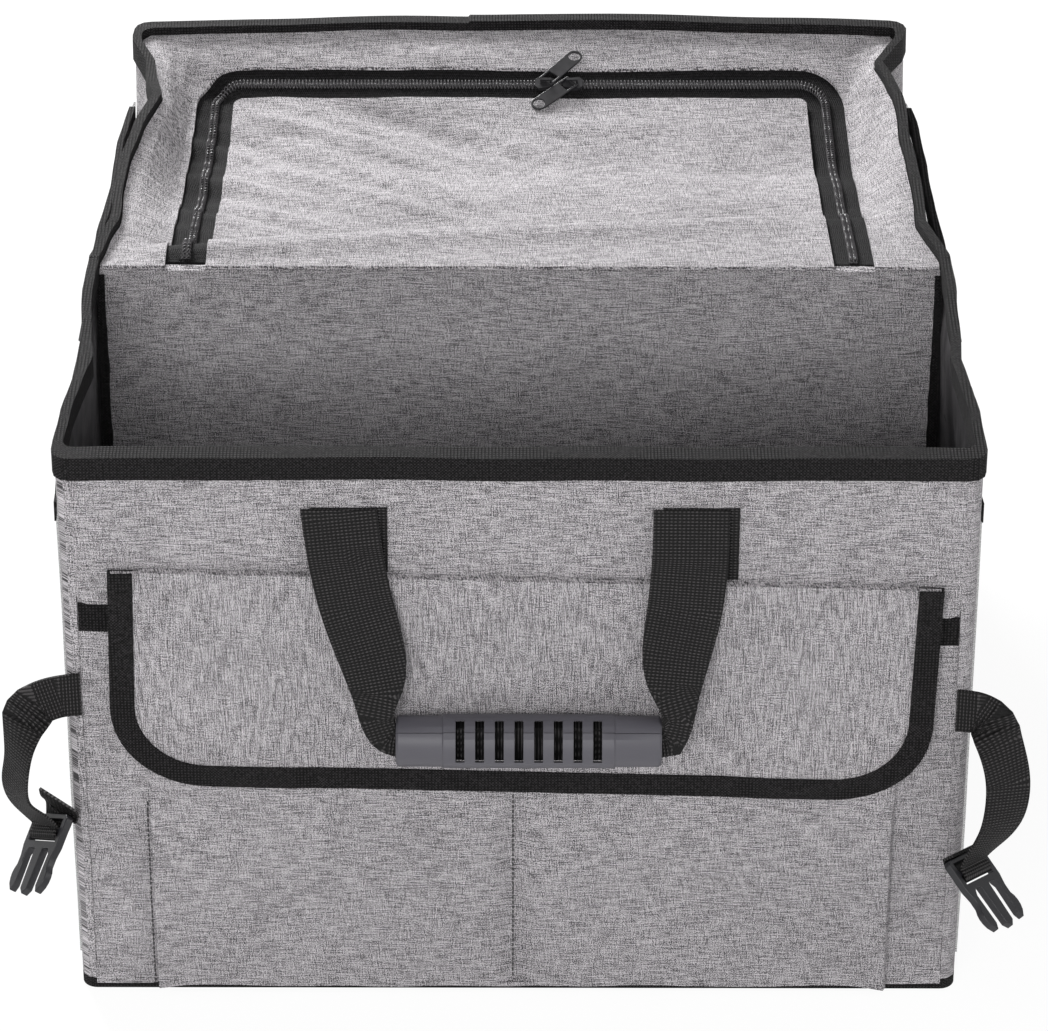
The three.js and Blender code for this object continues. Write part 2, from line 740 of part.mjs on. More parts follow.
// Sliders ride on the zip's rear run, tilted with the lid's slope there. Each carries a pull.
const slopeReach = 6;
const zipSlope = Math.atan2(lidZ(0, zipRear + slopeReach) - lidZ(0, zipRear - slopeReach), 2 * slopeReach);
const coilTop = coilHeight - seamGap;
function sliderGeometry() {
  const foot = coilTop + seamGap;
  const plate = new THREE.Shape();
  const [l, w] = [sliderLength / 2, sliderWidth / 2];
  plate.moveTo(-l + 2, -w);
  plate.lineTo(l - 1, -w + 1.5);
  plate.lineTo(l, 0);
  plate.lineTo(l - 1, w - 1.5);
  plate.lineTo(-l + 2, w);
  plate.lineTo(-l, w - 2);
  plate.lineTo(-l, -w + 2);
  plate.closePath();
  const top = prism(plate, foot, foot + sliderPlate);
  const flange = (side) => {
    const inner = coilWidth + edgeGap + 1.3;
    const [y0, y1] = side > 0 ? [inner, inner + 1] : [-inner - 1, -inner];
    return block(-l + 2.5, l - 2.5, y0, y1, foot - 0.9, foot + 0.3);
  };
  const plateTop = foot + sliderPlate;
  const bailTop = plateTop + bailRoom + 1;
  const bail = block(-bailHalf, bailHalf, -bailSide, bailSide, plateTop - 0.3, bailTop);
  const room = block(-bailHalf + 1, bailHalf - 1, -5, 5, plateTop, plateTop + bailRoom);
  return join(top, flange(1), flange(-1), cut(bail, room.translate(0, 0, 0)));
}

const pinHeight = coilTop + seamGap + sliderPlate + bailRoom / 2;
function pullGeometry() {
  const shape = new THREE.Shape();
  const half = pullWidth / 2;
  const inner = half - 1.3;
  shape.moveTo(-pullBar, -half);
  shape.lineTo(pullLength - half, -half);
  shape.absarc(pullLength - half, 0, half, -Math.PI / 2, Math.PI / 2);
  shape.lineTo(-pullBar, half);
  shape.closePath();
  const eye = new THREE.Path().absarc(pullLength - half, 0, inner, 0, 2 * Math.PI, true);
  shape.holes.push(eye);
  const window = new THREE.Path();
  window.moveTo(pullBar, -inner);
  window.lineTo(pullBar, inner);
  window.lineTo(pullWindow, inner);
  window.lineTo(pullWindow, -inner);
  window.closePath();
  shape.holes.push(window);
  return prism(shape, -pullThickness / 2, pullThickness / 2, 6);
}
const zipHeight = lidZ(0, zipRear);
for (const [name, side, turn, droop] of [
  ["left", -1, THREE.MathUtils.degToRad(50), THREE.MathUtils.degToRad(1)],
  ["right", 1, THREE.MathUtils.degToRad(180 + 42), THREE.MathUtils.degToRad(1)],
]) {
  const carriage = new THREE.Group();
  carriage.position.set((side * sliderSpacing) / 2 + sliderMiddle, zipRear, zipHeight);
  carriage.rotation.x = zipSlope;
  organizer.add(carriage);
  const slider = add(`${name}_slider`, sliderGeometry(), materials.metal, carriage);
  slider.rotation.z = side > 0 ? Math.PI : 0;
  const pull = add(`${name}_pull`, pullGeometry(), materials.metal, carriage);
  pull.position.set(0, 0, pinHeight);
  pull.rotation.set(0, droop, turn, "ZYX");
}

// Carrying handles: a webbing that runs through a two-shell grip, and its two sewn ends
const bundleWidth = 19.6;
const bundleThickness = 6;
function gripShell(side) {
  const end = gripLength / 2;
  const bore = gripRadius - gripWall;
  const profile = [
    [bore, -end],
    [gripRadius - 1.2, -end],
    [gripRadius, -end + 1.2],
    [gripRadius, -gripMiddle / 2 - gripStep],
    [gripRadius + gripStep, -gripMiddle / 2],
  ];
  const whole = [...profile, ...[...profile].reverse().map(([r, x]) => [r, -x]), profile[0]];
  const outer = new THREE.LatheGeometry(
    whole.map(([r, x]) => new THREE.Vector2(r, x)),
    gripSides,
  ).rotateZ(Math.PI / 2);
  const away = block(
    -gripLength,
    gripLength,
    -50,
    50,
    side > 0 ? -50 : -seamGap / 2,
    side > 0 ? seamGap / 2 : 50,
  );
  const slots = Array.from({ length: gripSlots }, (_, i) => {
    const x = (i - (gripSlots - 1) / 2) * slotPitch;
    const slot = block(x - slotWidth / 2, x + slotWidth / 2, -50, 50, -slotHeight / 2, slotHeight / 2);
    return slot.rotateX(slotTurn);
  });
  return cut(moulded(outer, (p) => p), away, ...slots);
}

// One half of the webbing's middle line, from its fold down to the grip and to the grip's middle.
// Each row holds the distance from the handle's middle, the stand-off, the height, the turn, the
// width and the thickness.
function handleRows(standOff, legStandOff) {
  const mouth = gripLength / 2;
  const drop = handleTop - gripHeight;
  const full = webbingWidth;
  const rows = [
    [handleSpread, 2.5, -0.8, 0, full, webbingThickness],
    [handleSpread - 1.5, legStandOff, -drop * 0.2, 0, full, webbingThickness],
    [handleSpread - 5, legStandOff + 1.2, -drop * 0.42, 0.05, full, webbingThickness],
    [handleSpread - 11, lerp(legStandOff, standOff, 0.35), -drop * 0.62, 0.12, full - 2, 1.8],
    [handleSpread - 14.5, lerp(legStandOff, standOff, 0.75), -drop * 0.78, 0.3, full - 10, 3],
    [mouth + 9, lerp(legStandOff, standOff, 0.95), -drop * 0.89, 0.6, bundleWidth, bundleThickness],
    [mouth + 5, standOff, -drop + 1.5, 1.0, bundleWidth - 2, bundleThickness],
    [mouth - 6, standOff, -drop, Math.PI / 2, bundleWidth, bundleThickness],
    [0, standOff, -drop, Math.PI / 2, bundleWidth, bundleThickness],
  ];
  return rows;
}

function handleWebbing(rows) {
  const left = rows.map(([x, ...rest]) => [-x, ...rest]);
  const right = rows.slice(0, -1).map(([x, out, z, turn, ...rest]) => [x, out, z, Math.PI - turn, ...rest]);
  const stations = [...left, ...right.reverse()];
  return sheet(stations, [-0.5, 0.5], ([x, out, z, turn, w, t], across, face) => {
    const [dx, dz] = [Math.cos(turn), Math.sin(turn)];
    const lean = handleLean * Math.max(1 + z / (handleTop - gripHeight), 0);
    return new THREE.Vector3(x - lean + across * w * dx, -out + (face - 0.5) * t, z + across * w * dz);
  });
}

function handle(name, end, wallY, standOff, legStandOff, sewnFrom) {
  const group = new THREE.Group();
  group.position.set(handleShift, end * wallY, handleTop);
  if (end > 0) group.rotation.z = Math.PI;
  organizer.add(group);
  const rows = handleRows(standOff, legStandOff);
  add(`${name}_handle_webbing`, handleWebbing(rows), materials.webbing, group);
  const grip = new THREE.Group();
  grip.position.set(0, -standOff, gripHeight - handleTop);
  grip.rotation.x = -partingTurn;
  group.add(grip);
  add(`${name}_grip_upper`, gripShell(1), materials.plastic, grip);
  add(`${name}_grip_lower`, gripShell(-1), materials.plastic, grip);
  for (const [side, hand] of [
    ["left", -1],
    ["right", 1],
  ]) {
    const x = -end * handleShift + hand * handleSpread - handleLean;
    const half = webbingWidth / 2;
    const edges = [x - half, x + half].map((edge) => (end < 0 ? edge + 2 * handleShift : edge));
    const levels = [sewnFrom((edges[0] + edges[1]) / 2), handleTop - seamGap * 2];
    const place = (edge, z, face) => {
      const wall = seamGap + (webbingThickness - 0.2) * face;
      return end < 0 ? new THREE.Vector3(edge - handleShift, -halfDepth - wall, z) : settled(new THREE.Vector3(-edge, halfDepth + wall, z));
    };
    add(`${name}_webbing_end_${side}`, sheet(edges, levels, place), materials.webbing);
  }
}
const flapStand = -halfDepth - (flapBack - flapThickness - flapTapeThickness);
const aboveFlap = (x) => flapTop + seamGap + 1 - (x + 5 - flapShift) * Math.tan(flapSkew);
handle("front", -1, halfDepth, flapStand + gripRadius + 1, flapStand + 2, aboveFlap);
const bowAtHandle = 7.8;
handle("rear", 1, halfDepth + bowAtHandle, gripRadius + 2.5, 3.2, () => handleTop - 60);

// Closing straps: a ribbon through points, each with the direction of the ribbon's width
function ribbon(rows, ribbonWidth, thickness, steps) {
  const middle = new THREE.CatmullRomCurve3(rows.map(([x, y, z]) => new THREE.Vector3(x, y, z)), false, "centripetal");
  const widths = new THREE.CatmullRomCurve3(rows.map((row) => new THREE.Vector3(...row.slice(3))), false, "catmullrom");
  const stations = span(0, 1, steps).map((t) => {
    const at = middle.getPoint(t);
    const run = middle.getTangent(t);
    const across = widths.getPoint(t);
    across.addScaledVector(run, -across.dot(run)).normalize();
    return { at, across, out: new THREE.Vector3().crossVectors(run, across) };
  });
  return sheet(stations, [-0.5, 0.5], (station, side, face) =>
    station.at
      .clone()
      .addScaledVector(station.across, side * ribbonWidth)
      .addScaledVector(station.out, (face - 0.5) * thickness),
  );
}

// A buckle half hangs in its own frame: X across, Y along the prongs, Z out of its face.
function framed(origin, across, along) {
  const y = along.clone().normalize();
  const x = across.clone().addScaledVector(y, -across.dot(y)).normalize();
  const z = new THREE.Vector3().crossVectors(x, y);
  return new THREE.Matrix4().makeBasis(x, y, z).setPosition(origin);
}

const frameLength = 3 * barWidth + 2 * windowLength;
function plugGeometry() {
  const half = buckleWidth / 2;
  const shape = new THREE.Shape();
  shape.moveTo(-half + 2, -frameLength);
  shape.lineTo(half - 2, -frameLength);
  shape.lineTo(half, -frameLength + 2);
  shape.lineTo(half, 0);
  shape.lineTo(half - 1.5, 6);
  shape.lineTo(half - 1.5, 11);
  shape.quadraticCurveTo(half + 2, 16, half - 1, 22);
  shape.lineTo(half - 4, 25.5);
  shape.lineTo(half - 6, 22);
  shape.lineTo(half - 5.5, 5);
  shape.lineTo(half - 7.5, 1.5);
  shape.lineTo(4, 1.5);
  shape.lineTo(3.2, 24);
  shape.lineTo(0, 27);
  shape.lineTo(-3.2, 24);
  shape.lineTo(-4, 1.5);
  shape.lineTo(-half + 7.5, 1.5);
  shape.lineTo(-half + 5.5, 5);
  shape.lineTo(-half + 6, 22);
  shape.lineTo(-half + 4, 25.5);
  shape.lineTo(-half + 1, 22);
  shape.quadraticCurveTo(-half - 2, 16, -half + 1.5, 11);
  shape.lineTo(-half + 1.5, 6);
  shape.lineTo(-half, 0);
  shape.lineTo(-half, -frameLength + 2);
  shape.closePath();
  for (const foot of [barWidth, 2 * barWidth + windowLength]) {
    const gap = new THREE.Path();
    const w = strapWidth / 2 + 1;
    gap.moveTo(-w, -foot);
    gap.lineTo(w, -foot);
    gap.lineTo(w, -foot - windowLength);
    gap.lineTo(-w, -foot - windowLength);
    gap.closePath();
    shape.holes.push(gap);
  }
  return prism(shape, -buckleThickness / 2, buckleThickness / 2, 4);
}

const socketLength = 30;
const socketThickness = 9;
function socketGeometry() {
  const half = buckleWidth / 2 + 1;
  const body = block(-half, half, 0, socketLength, -socketThickness / 2, socketThickness / 2);
  const room = block(-half + 2, half - 2, 3, socketLength + 1, -socketThickness / 2 + 1.8, socketThickness / 2 - 1.8);
  const sideWindow = block(-half - 5, half + 5, 9, 21, -socketThickness / 2 + 1.8, socketThickness / 2 - 1.8);
  const loop = block(-half + 2, half - 2, -windowLength - barWidth, 1, -buckleThickness / 2, buckleThickness / 2);
  const loopGap = block(-strapWidth / 2 - 1, strapWidth / 2 + 1, -windowLength, 0, -5, 5);
  return cut(join(body, cut(loop, loopGap)), room, sideWindow);
}

// The strap leaves the corner seam, turns over as it falls and goes round the buckle's bars.
// Both are drawn at the left; the right ones are mirrored.
const seamExit = cornerRadius - 0.2;

function mirror(geometry, hand) {
  return hand < 0 ? geometry : moulded(geometry, (p) => new THREE.Vector3(-p.x, p.y, p.z));
}

// The ribbon comes in over the frame's face, goes round a bar and leaves under the frame.
function hairpin(frame, bars, lead, under, end) {
  const local = (y, z) => new THREE.Vector3(0, y, z).applyMatrix4(frame);
  const across = new THREE.Vector3().setFromMatrixColumn(frame, 0);
  const reach = buckleThickness / 2 + 0.6 + strapThickness / 2;
  const turn = [1, 0.5, 0, -0.5, -1].map((s) => {
    const angle = (s * Math.PI) / 2;
    return [-bars + reach * Math.cos(angle), reach * Math.sin(angle)];
  });
  const path = [[-bars - lead, reach], ...turn, [-bars - under, -reach]].map(([y, z]) => local(y, z));
  path.push(path.at(-1).clone().add(end));
  return path.map((at) => [...at.toArray(), ...across.toArray()]);
}

const [wallX, frontY] = [-halfWidth, -halfDepth];
const frontStraps = [
  {
    name: "left",
    hand: -1,
    z: leftStrapHeight,
    plug: new THREE.Vector3(wallX - 15, frontY - 12, 100),
    across: new THREE.Vector3(-0.6, 0.62, -0.5),
    along: new THREE.Vector3(-0.33, -0.7, -0.63),
    end: new THREE.Vector3(-1, -4, 12),
    fall: [
      [-14, -5.5, -3, -0.1, 0.1, 1],
      [-22, -8, -13, -0.35, 0.5, 0.8],
      [-26, -11, -38, -0.5, 0.86, 0.1],
      [-27, -9, -59, -0.6, 0.75, -0.25],
    ],
  },
  {
    name: "right",
    hand: 1,
    z: rightStrapHeight,
    plug: new THREE.Vector3(wallX - 8, frontY - 21, 84),
    across: new THREE.Vector3(-0.6, 0.75, -0.28),
    along: new THREE.Vector3(-0.55, -0.6, -0.58),
    end: new THREE.Vector3(-5, -2, 5),
    fall: [
      [-9, -5, -3, -0.1, 0.1, 1],
      [-15, -9, -16, -0.5, 0.5, 0.7],
      [-20, -13, -38, -0.9, 0.4, 0.1],
      [-17, -16, -62, -0.88, 0.48, -0.05],
    ],
  },
];
const rearX = wallX * (1 - (rearTaper * socketHeight) / height);
for (const { name, hand, z, plug, across, along, end, fall } of frontStraps) {
  const frame = framed(plug, across, along);
  const route = [
    [wallX + seamExit, frontY - seamGap - strapThickness / 2, z, 0, 0, 1],
    [wallX - 3, frontY - 3, z, 0, 0, 1],
    ...fall.map(([x, y, down, ...width]) => [wallX + x, frontY + y, z + down, ...width]),
  ];
  const rows = [...route, ...hairpin(frame, barWidth + windowLength, 3.5, 12, end)];
  add(`${name}_strap`, mirror(ribbon(rows, strapWidth, strapThickness, 30), hand), materials.webbing);
  add(`${name}_buckle_plug`, mirror(plugGeometry().applyMatrix4(frame), hand), materials.plastic);

  const socketFrame = framed(
    new THREE.Vector3(rearX - 19, halfDepth + 5, socketHeight - 42),
    new THREE.Vector3(0.67, 0.74, 0),
    new THREE.Vector3(-0.2, 0.15, -0.97),
  );
  const tabRoute = [
    [rearX + seamExit, halfDepth + seamGap + strapThickness / 2, socketHeight, 0, 0, 1],
    [rearX - 3, halfDepth + 3, socketHeight, 0, 0, 1],
    [rearX - 12, halfDepth + 5, socketHeight - 5, 0.1, 0.1, 1],
    [rearX - 20, halfDepth + 6, socketHeight - 16, 0.5, 0.6, 0.5],
  ];
  const tabEnd = new THREE.Vector3(0, 0, 6);
  const tabRows = [...tabRoute, ...hairpin(socketFrame, windowLength, 4, 5, tabEnd)];
  add(`${name}_socket_tab`, mirror(ribbon(tabRows, strapWidth, strapThickness, 20), hand), materials.webbing);
  add(`${name}_buckle_socket`, mirror(socketGeometry().applyMatrix4(socketFrame), hand), materials.plastic);
}

export default organizer;
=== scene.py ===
# %% [markdown]
# # A trunk organizer
# A soft box of heathered grey cloth with an open compartment, a zipped one and a flap pocket.
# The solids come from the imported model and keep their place. This lesson gives them their looks:
# cloth that is cut finer and gets its creases, webbing that is smoothed, a real coil on the zip
# and a woven, moulded or lacquered finish for each piece.

# %% Load the frame
import math

import bmesh
import bpy
from mathutils import Matrix, Vector, noise


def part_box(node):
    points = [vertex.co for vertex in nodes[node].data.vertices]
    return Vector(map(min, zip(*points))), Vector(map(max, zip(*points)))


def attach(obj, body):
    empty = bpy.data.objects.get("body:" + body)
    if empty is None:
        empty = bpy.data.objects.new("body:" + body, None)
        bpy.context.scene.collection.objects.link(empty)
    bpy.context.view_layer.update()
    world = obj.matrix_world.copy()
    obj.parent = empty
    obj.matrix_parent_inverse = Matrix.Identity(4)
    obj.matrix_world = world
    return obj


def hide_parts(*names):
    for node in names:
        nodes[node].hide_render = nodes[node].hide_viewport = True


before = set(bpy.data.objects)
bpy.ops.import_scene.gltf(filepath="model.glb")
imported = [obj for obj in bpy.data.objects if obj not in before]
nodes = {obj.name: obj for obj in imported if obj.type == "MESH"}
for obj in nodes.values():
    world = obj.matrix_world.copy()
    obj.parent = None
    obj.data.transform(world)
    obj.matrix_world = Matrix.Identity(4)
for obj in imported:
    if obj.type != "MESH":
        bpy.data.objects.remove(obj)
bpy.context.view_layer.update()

MM = 0.001

# %% [markdown]
# ## The camera
# The photograph was taken from in front and above with a long lens, so the sides hardly converge.
# The camera stands where the box's corners fall on the same places of the picture.

# %% Camera
CAMERA_PLACE = Vector((0.0012, -2.3087, 1.5844))
CAMERA_PITCH = math.radians(90 - 31.96)
CAMERA_ROLL = math.radians(-0.10)
CAMERA_YAW = math.radians(0.03)
LENS = 168.9

camera_data = bpy.data.cameras.new("camera")
camera_data.lens = LENS
camera_data.sensor_width = 36
camera_data.clip_start = 0.1
camera_data.clip_end = 50
camera = bpy.data.objects.new("camera", camera_data)
camera.location = CAMERA_PLACE
camera.rotation_euler = (CAMERA_PITCH, CAMERA_ROLL, CAMERA_YAW)
bpy.context.scene.collection.objects.link(camera)
bpy.context.scene.camera = camera
print("camera lens", LENS)

# %% [markdown]
# ## Writing a finish
# A finish is a small network of shader nodes. A class that wraps a socket lets the sums be written
# as sums, and one method adds any other node: its settings come first, then its sockets.


# %% Shader sums
class Flow:
    """A number that changes over the surface, as the socket that gives it."""

    def __init__(self, finish, socket):
        self.finish = finish
        self.socket = socket

    def sum(self, operation, *others):
        values = {i: other for i, other in enumerate((self, *others))}
        return self.finish.add("ShaderNodeMath", {"operation": operation}, values)

    def flipped(self, operation, other):
        return self.finish.add("ShaderNodeMath", {"operation": operation}, {0: other, 1: self})

    def __add__(self, other):
        return self.sum("ADD", other)

    def __sub__(self, other):
        return self.sum("SUBTRACT", other)

    def __mul__(self, other):
        return self.sum("MULTIPLY", other)

    def __radd__(self, other):
        return self.flipped("ADD", other)

    def __rsub__(self, other):
        return self.flipped("SUBTRACT", other)

    def wave(self):
        return self.sum("SINE")

    def ramp(self, low, high):
        settings = {"interpolation_type": "SMOOTHSTEP", "clamp": True}
        return self.finish.add("ShaderNodeMapRange", settings, {0: self, 1: low, 2: high})


class Finish:
    """A material with its surface shader, and the nodes that feed it."""

    def __init__(self, name, roughness, specular=0.3, sheen=0.0, coat=0.0):
        self.material = bpy.data.materials.new(name)
        self.material.use_nodes = True
        self.tree = self.material.node_tree
        self.shader = self.tree.nodes["Principled BSDF"]
        self.set("Roughness", roughness)
        self.set("Specular IOR Level", specular)
        self.set("Sheen Weight", sheen)
        self.set("Coat Weight", coat)
        self.place = self.add("ShaderNodeTexCoord", {}, {}, "Object")

    def set(self, name, value):
        socket = self.shader.inputs[name]
        if isinstance(value, Flow):
            self.tree.links.new(value.socket, socket)
        else:
            socket.default_value = value

    def add(self, kind, settings, values, output=0):
        node = self.tree.nodes.new(kind)
        for name, value in settings.items():
            setattr(node, name, value)
        for name, value in values.items():
            if isinstance(value, Flow):
                self.tree.links.new(value.socket, node.inputs[name])
            else:
                node.inputs[name].default_value = value
        return Flow(self, node.outputs[output])

    def axis(self, place, index):
        return self.add("ShaderNodeSeparateXYZ", {}, {0: place}, index)

    def grain(self, per_metre, detail=2.0, place=None):
        """A cloudy noise with this many grains to the metre along X, Y and Z."""
        ends = {0: place or self.place, 1: per_metre}
        scaled = self.add("ShaderNodeVectorMath", {"operation": "MULTIPLY"}, ends)
        values = {"Vector": scaled, "Scale": 1.0, "Detail": detail, "Roughness": 0.6}
        return self.add("ShaderNodeTexNoise", {}, values, "Fac")

    def blend(self, share, low, high):
        settings = {"data_type": "RGBA", "clamp_factor": True}
        low = (*low, 1.0) if isinstance(low, tuple) else low
        high = (*high, 1.0) if isinstance(high, tuple) else high
        return self.add("ShaderNodeMix", settings, {0: share, 6: low, 7: high}, 2)

    def relief(self, height, distance, strength=1.0):
        values = {"Height": height, "Distance": distance, "Strength": strength}
        self.set("Normal", self.add("ShaderNodeBump", {}, values, "Normal"))


def tinted(base, factor):
    """The same hue, darker or lighter."""
    return tuple(c * factor for c in base)


print("shader helpers ready")

# %% [markdown]
# ## Heathered cloth
# The grey cloth is woven from yarns of dark and light fibre, so it is full of short streaks that
# run with the weft, fainter ones across them and a fine grain. The flap is cut the other way round,
# with its streaks upright. Noise that is stretched along the weft gives the streaks at real size.
# Such noise fades at each whole number of its axes, which would show as a grid on the cloth, so the
# axes are sheared: from one yarn to the next the faded places move along.

# %% Heathered cloth
CLOTH_DARK = (0.050, 0.0475, 0.0505)
CLOTH_LIGHT = (0.65, 0.622, 0.645)
WEFT_PER_METRE = (90.0, 2400.0, 1.0)
WARP_PER_METRE = (2300.0, 130.0, 1.0)
SPECKS_PER_METRE = (1700.0, 2300.0, 1.0)
CLOUDS_PER_METRE = (24.0, 24.0, 24.0)
WEFT_SHEAR = 13.7
WARP_SHEAR = 8.3
FLAT_LEAN = (0.25, 0.3)
EDGE_LEAN = (1.0, 0.0)
MIDDLE_GREY = 0.43


def heathered(name, weft, warp_axis, painted_light_tone=1.0, lean=FLAT_LEAN):
    """Grey cloth: its streaks run along the axis weft, fainter ones along the axis warp_axis.

    lean says how far the pattern follows the third axis, so that bends and edges show it too.
    """
    finish = Finish(name, roughness=0.85, specular=0.2, sheen=0.08)
    through = 3 - weft - warp_axis
    depth = finish.axis(finish.place, through)
    run = finish.axis(finish.place, weft) + depth * lean[0]
    rise = finish.axis(finish.place, warp_axis) + depth * lean[1]
    weft_plane = finish.add("ShaderNodeCombineXYZ", {}, {0: run + rise * WEFT_SHEAR, 1: rise})
    warp_plane = finish.add("ShaderNodeCombineXYZ", {}, {0: run, 1: rise + run * WARP_SHEAR})
    plane = finish.add("ShaderNodeCombineXYZ", {}, {0: run, 1: rise})
    slub = finish.grain(WEFT_PER_METRE, 1.0, weft_plane)
    warp = finish.grain(WARP_PER_METRE, 1.0, warp_plane)
    speck = finish.grain(SPECKS_PER_METRE, 1.0, plane)
    cloud = finish.grain(CLOUDS_PER_METRE, 2.0)
    streaks = (slub - 0.5) * 3.5 + (warp - 0.5) * 2.2
    share = streaks + (speck - 0.5) * 6.0 + (cloud - 0.5) * 0.3 + MIDDLE_GREY
    # A tone above 1 makes a lighter copy of the cloth, which is painted light.
    dark, light = tinted(CLOTH_DARK, painted_light_tone), tinted(CLOTH_LIGHT, painted_light_tone)
    finish.set("Base Color", finish.blend(share, dark, light))
    finish.relief(slub * 0.4 + speck * 0.8 + warp * 0.4, 0.0004, 0.6)
    return finish.material


panel_cloth = heathered("panel_cloth", 0, 2)
side_cloth = heathered("side_cloth", 1, 2, lean=EDGE_LEAN)
flap_cloth = heathered("flap_cloth", 2, 0)
# The lid's copy is 3% lighter: painted light on the top, which faces the lamps.
lid_cloth_painted_lighter = heathered("lid_cloth_painted_lighter", 0, 1, 1.03)
print("heathered cloth ready")

# %% [markdown]
# ## Black weaves
# The bindings are a ribbed tape, the handles and straps a heavier webbing whose ribs run across it,
# the lining a coated cloth that shines a little, and the side pockets a net. The webbing's pattern
# follows its own length, so it reads the piece's UV map, which is laid out in metres.

# %% Black weaves
FULL_TURN = 2 * math.pi
RIM_TAPE_RIB = 0.0017
ZIP_TAPE_RIB = 0.0011


def ribbed_tape(name, base, rib):
    """Ribs one way and yarns the other, whichever way the tape faces."""
    finish = Finish(name, roughness=0.8, specular=0.22)
    waves = [(finish.axis(finish.place, i) * (FULL_TURN / rib)).wave() for i in range(3)]
    weave = waves[0] * waves[2] + waves[1] * waves[2] * 0.8 + waves[0] * waves[1] * 0.8
    fray = finish.grain((700.0, 700.0, 700.0), 2.0)
    share = weave * 0.55 + (fray - 0.5) * 2.2 + 0.24
    finish.set("Base Color", finish.blend(share, tinted(base, 0.25), tinted(base, 5.0)))
    finish.relief(weave * 0.8 + fray, 0.0007, 0.9)
    return finish.material


WEBBING_ROW = 0.0017
WEBBING_COLUMN = 0.0021


def webbing_weave(name, base):
    """Ribs across the strap, each a row of yarn knuckles, from the UV map in metres."""
    finish = Finish(name, roughness=0.7, specular=0.25)
    chart = finish.add("ShaderNodeUVMap", {"uv_map": "along"}, {}, 0)
    run = finish.axis(chart, 0)
    side = finish.axis(chart, 1)
    row = (run * (FULL_TURN / WEBBING_ROW)).wave()
    column = (side * (FULL_TURN / WEBBING_COLUMN) + row * 0.5).wave()
    knuckle = (row * 0.65 + column * 0.35).ramp(0.05, 0.95)
    wear = finish.grain((160.0, 160.0, 160.0), 2.0)
    fuzz = finish.grain((1800.0, 1800.0, 1800.0), 1.0)
    share = knuckle * (0.35 + wear * 0.8) + (fuzz - 0.5) * 0.5
    finish.set("Base Color", finish.blend(share, tinted(base, 0.3), tinted(base, 6.5)))
    finish.relief(row * 0.5 + column * 0.35 + fuzz * 0.3, 0.0005, 0.8)
    return finish.material


def coated_lining(name, base):
    """A smooth coat over fine threads, crumpled a little so that it glints."""
    finish = Finish(name, roughness=0.36, specular=0.7, coat=0.25)
    crumple = finish.grain((22.0, 22.0, 9.0), 3.0)
    thread = finish.grain((1400.0, 1400.0, 300.0), 1.0)
    finish.set("Base Color", finish.blend(thread, base, tinted(base, 1.8)))
    finish.set("Roughness", 0.26 + crumple * 0.2)
    finish.relief(crumple * 1.0 + thread * 0.02, 0.006, 0.55)
    return finish.material


NET_RUN = 0.0034
NET_RISE = 0.0030


def netting(name, base):
    """Diagonal threads along Y and Z with clear holes between them."""
    finish = Finish(name, roughness=0.6, specular=0.3)
    run = finish.axis(finish.place, 1) * (FULL_TURN / NET_RUN)
    rise = finish.axis(finish.place, 2) * (FULL_TURN / NET_RISE)
    hole = (run + rise).wave() * (run - rise).wave()
    thread = 1 - (hole.sum("ABSOLUTE")).ramp(0.18, 0.34)
    finish.set("Base Color", finish.blend(thread, tinted(base, 0.6), tinted(base, 1.6)))
    finish.set("Alpha", thread)
    finish.relief(thread, 0.0004, 0.5)
    return finish.material


BLACK = (0.0100, 0.0093, 0.0098)
binding_tape = ribbed_tape("binding_tape", BLACK, RIM_TAPE_RIB)
zip_tape = ribbed_tape("zip_tape", (0.0085, 0.008, 0.0087), ZIP_TAPE_RIB)
webbing = webbing_weave("webbing_weave", (0.0125, 0.0118, 0.0120))
lining = coated_lining("coated_lining", (0.0075, 0.0073, 0.0082))
net = netting("side_net", (0.022, 0.021, 0.022))
print("black weaves ready")

# %% [markdown]
# ## Mouldings, zip and board
# The grips and buckles are spark-grained charcoal plastic, the sliders and pulls are lacquered
# die castings, the zip's coil is a bright monofilament, and the boards are plain grey board.


# %% Mouldings, zip and board
def moulded_plastic(name, base, roughness):
    """Spark-grained plastic with faint flow marks from the mould."""
    finish = Finish(name, roughness=roughness, specular=0.5)
    spark = finish.grain((1600.0, 1600.0, 1600.0), 1.0)
    flow = finish.grain((14.0, 60.0, 60.0), 2.0)
    marks = flow * 0.6 + spark * 0.4
    finish.set("Base Color", finish.blend(marks, tinted(base, 0.86), tinted(base, 1.15)))
    finish.set("Roughness", roughness - 0.06 + spark * 0.12 + flow * 0.06)
    finish.relief(spark, 0.00012, 0.5)
    return finish.material


def lacquered(name, base):
    """Black lacquer on a casting, lighter where it is worn."""
    finish = Finish(name, roughness=0.3, specular=0.4)
    worn = finish.grain((240.0, 240.0, 240.0), 3.0)
    finish.set("Base Color", finish.blend(worn, base, tinted(base, 2.2)))
    finish.set("Roughness", 0.26 + worn * 0.2)
    finish.relief(worn, 0.0001, 0.4)
    return finish.material


def stiff_board(name, base):
    """Grey board with the mottle of its pulp."""
    finish = Finish(name, roughness=0.9, specular=0.2)
    pulp = finish.grain((300.0, 300.0, 300.0), 3.0)
    finish.set("Base Color", finish.blend(pulp, tinted(base, 0.8), base))
    finish.relief(pulp, 0.0003, 0.4)
    return finish.material


grip_plastic = moulded_plastic("grip_plastic", (0.088, 0.085, 0.100), 0.46)
buckle_plastic = moulded_plastic("buckle_plastic", (0.016, 0.016, 0.019), 0.3)
coil_filament = moulded_plastic("coil_filament", (0.085, 0.081, 0.085), 0.22)
zip_casting = lacquered("zip_casting", (0.014, 0.0135, 0.015))
board = stiff_board("stiff_board", (0.49, 0.45, 0.40))
print("hard finishes ready")

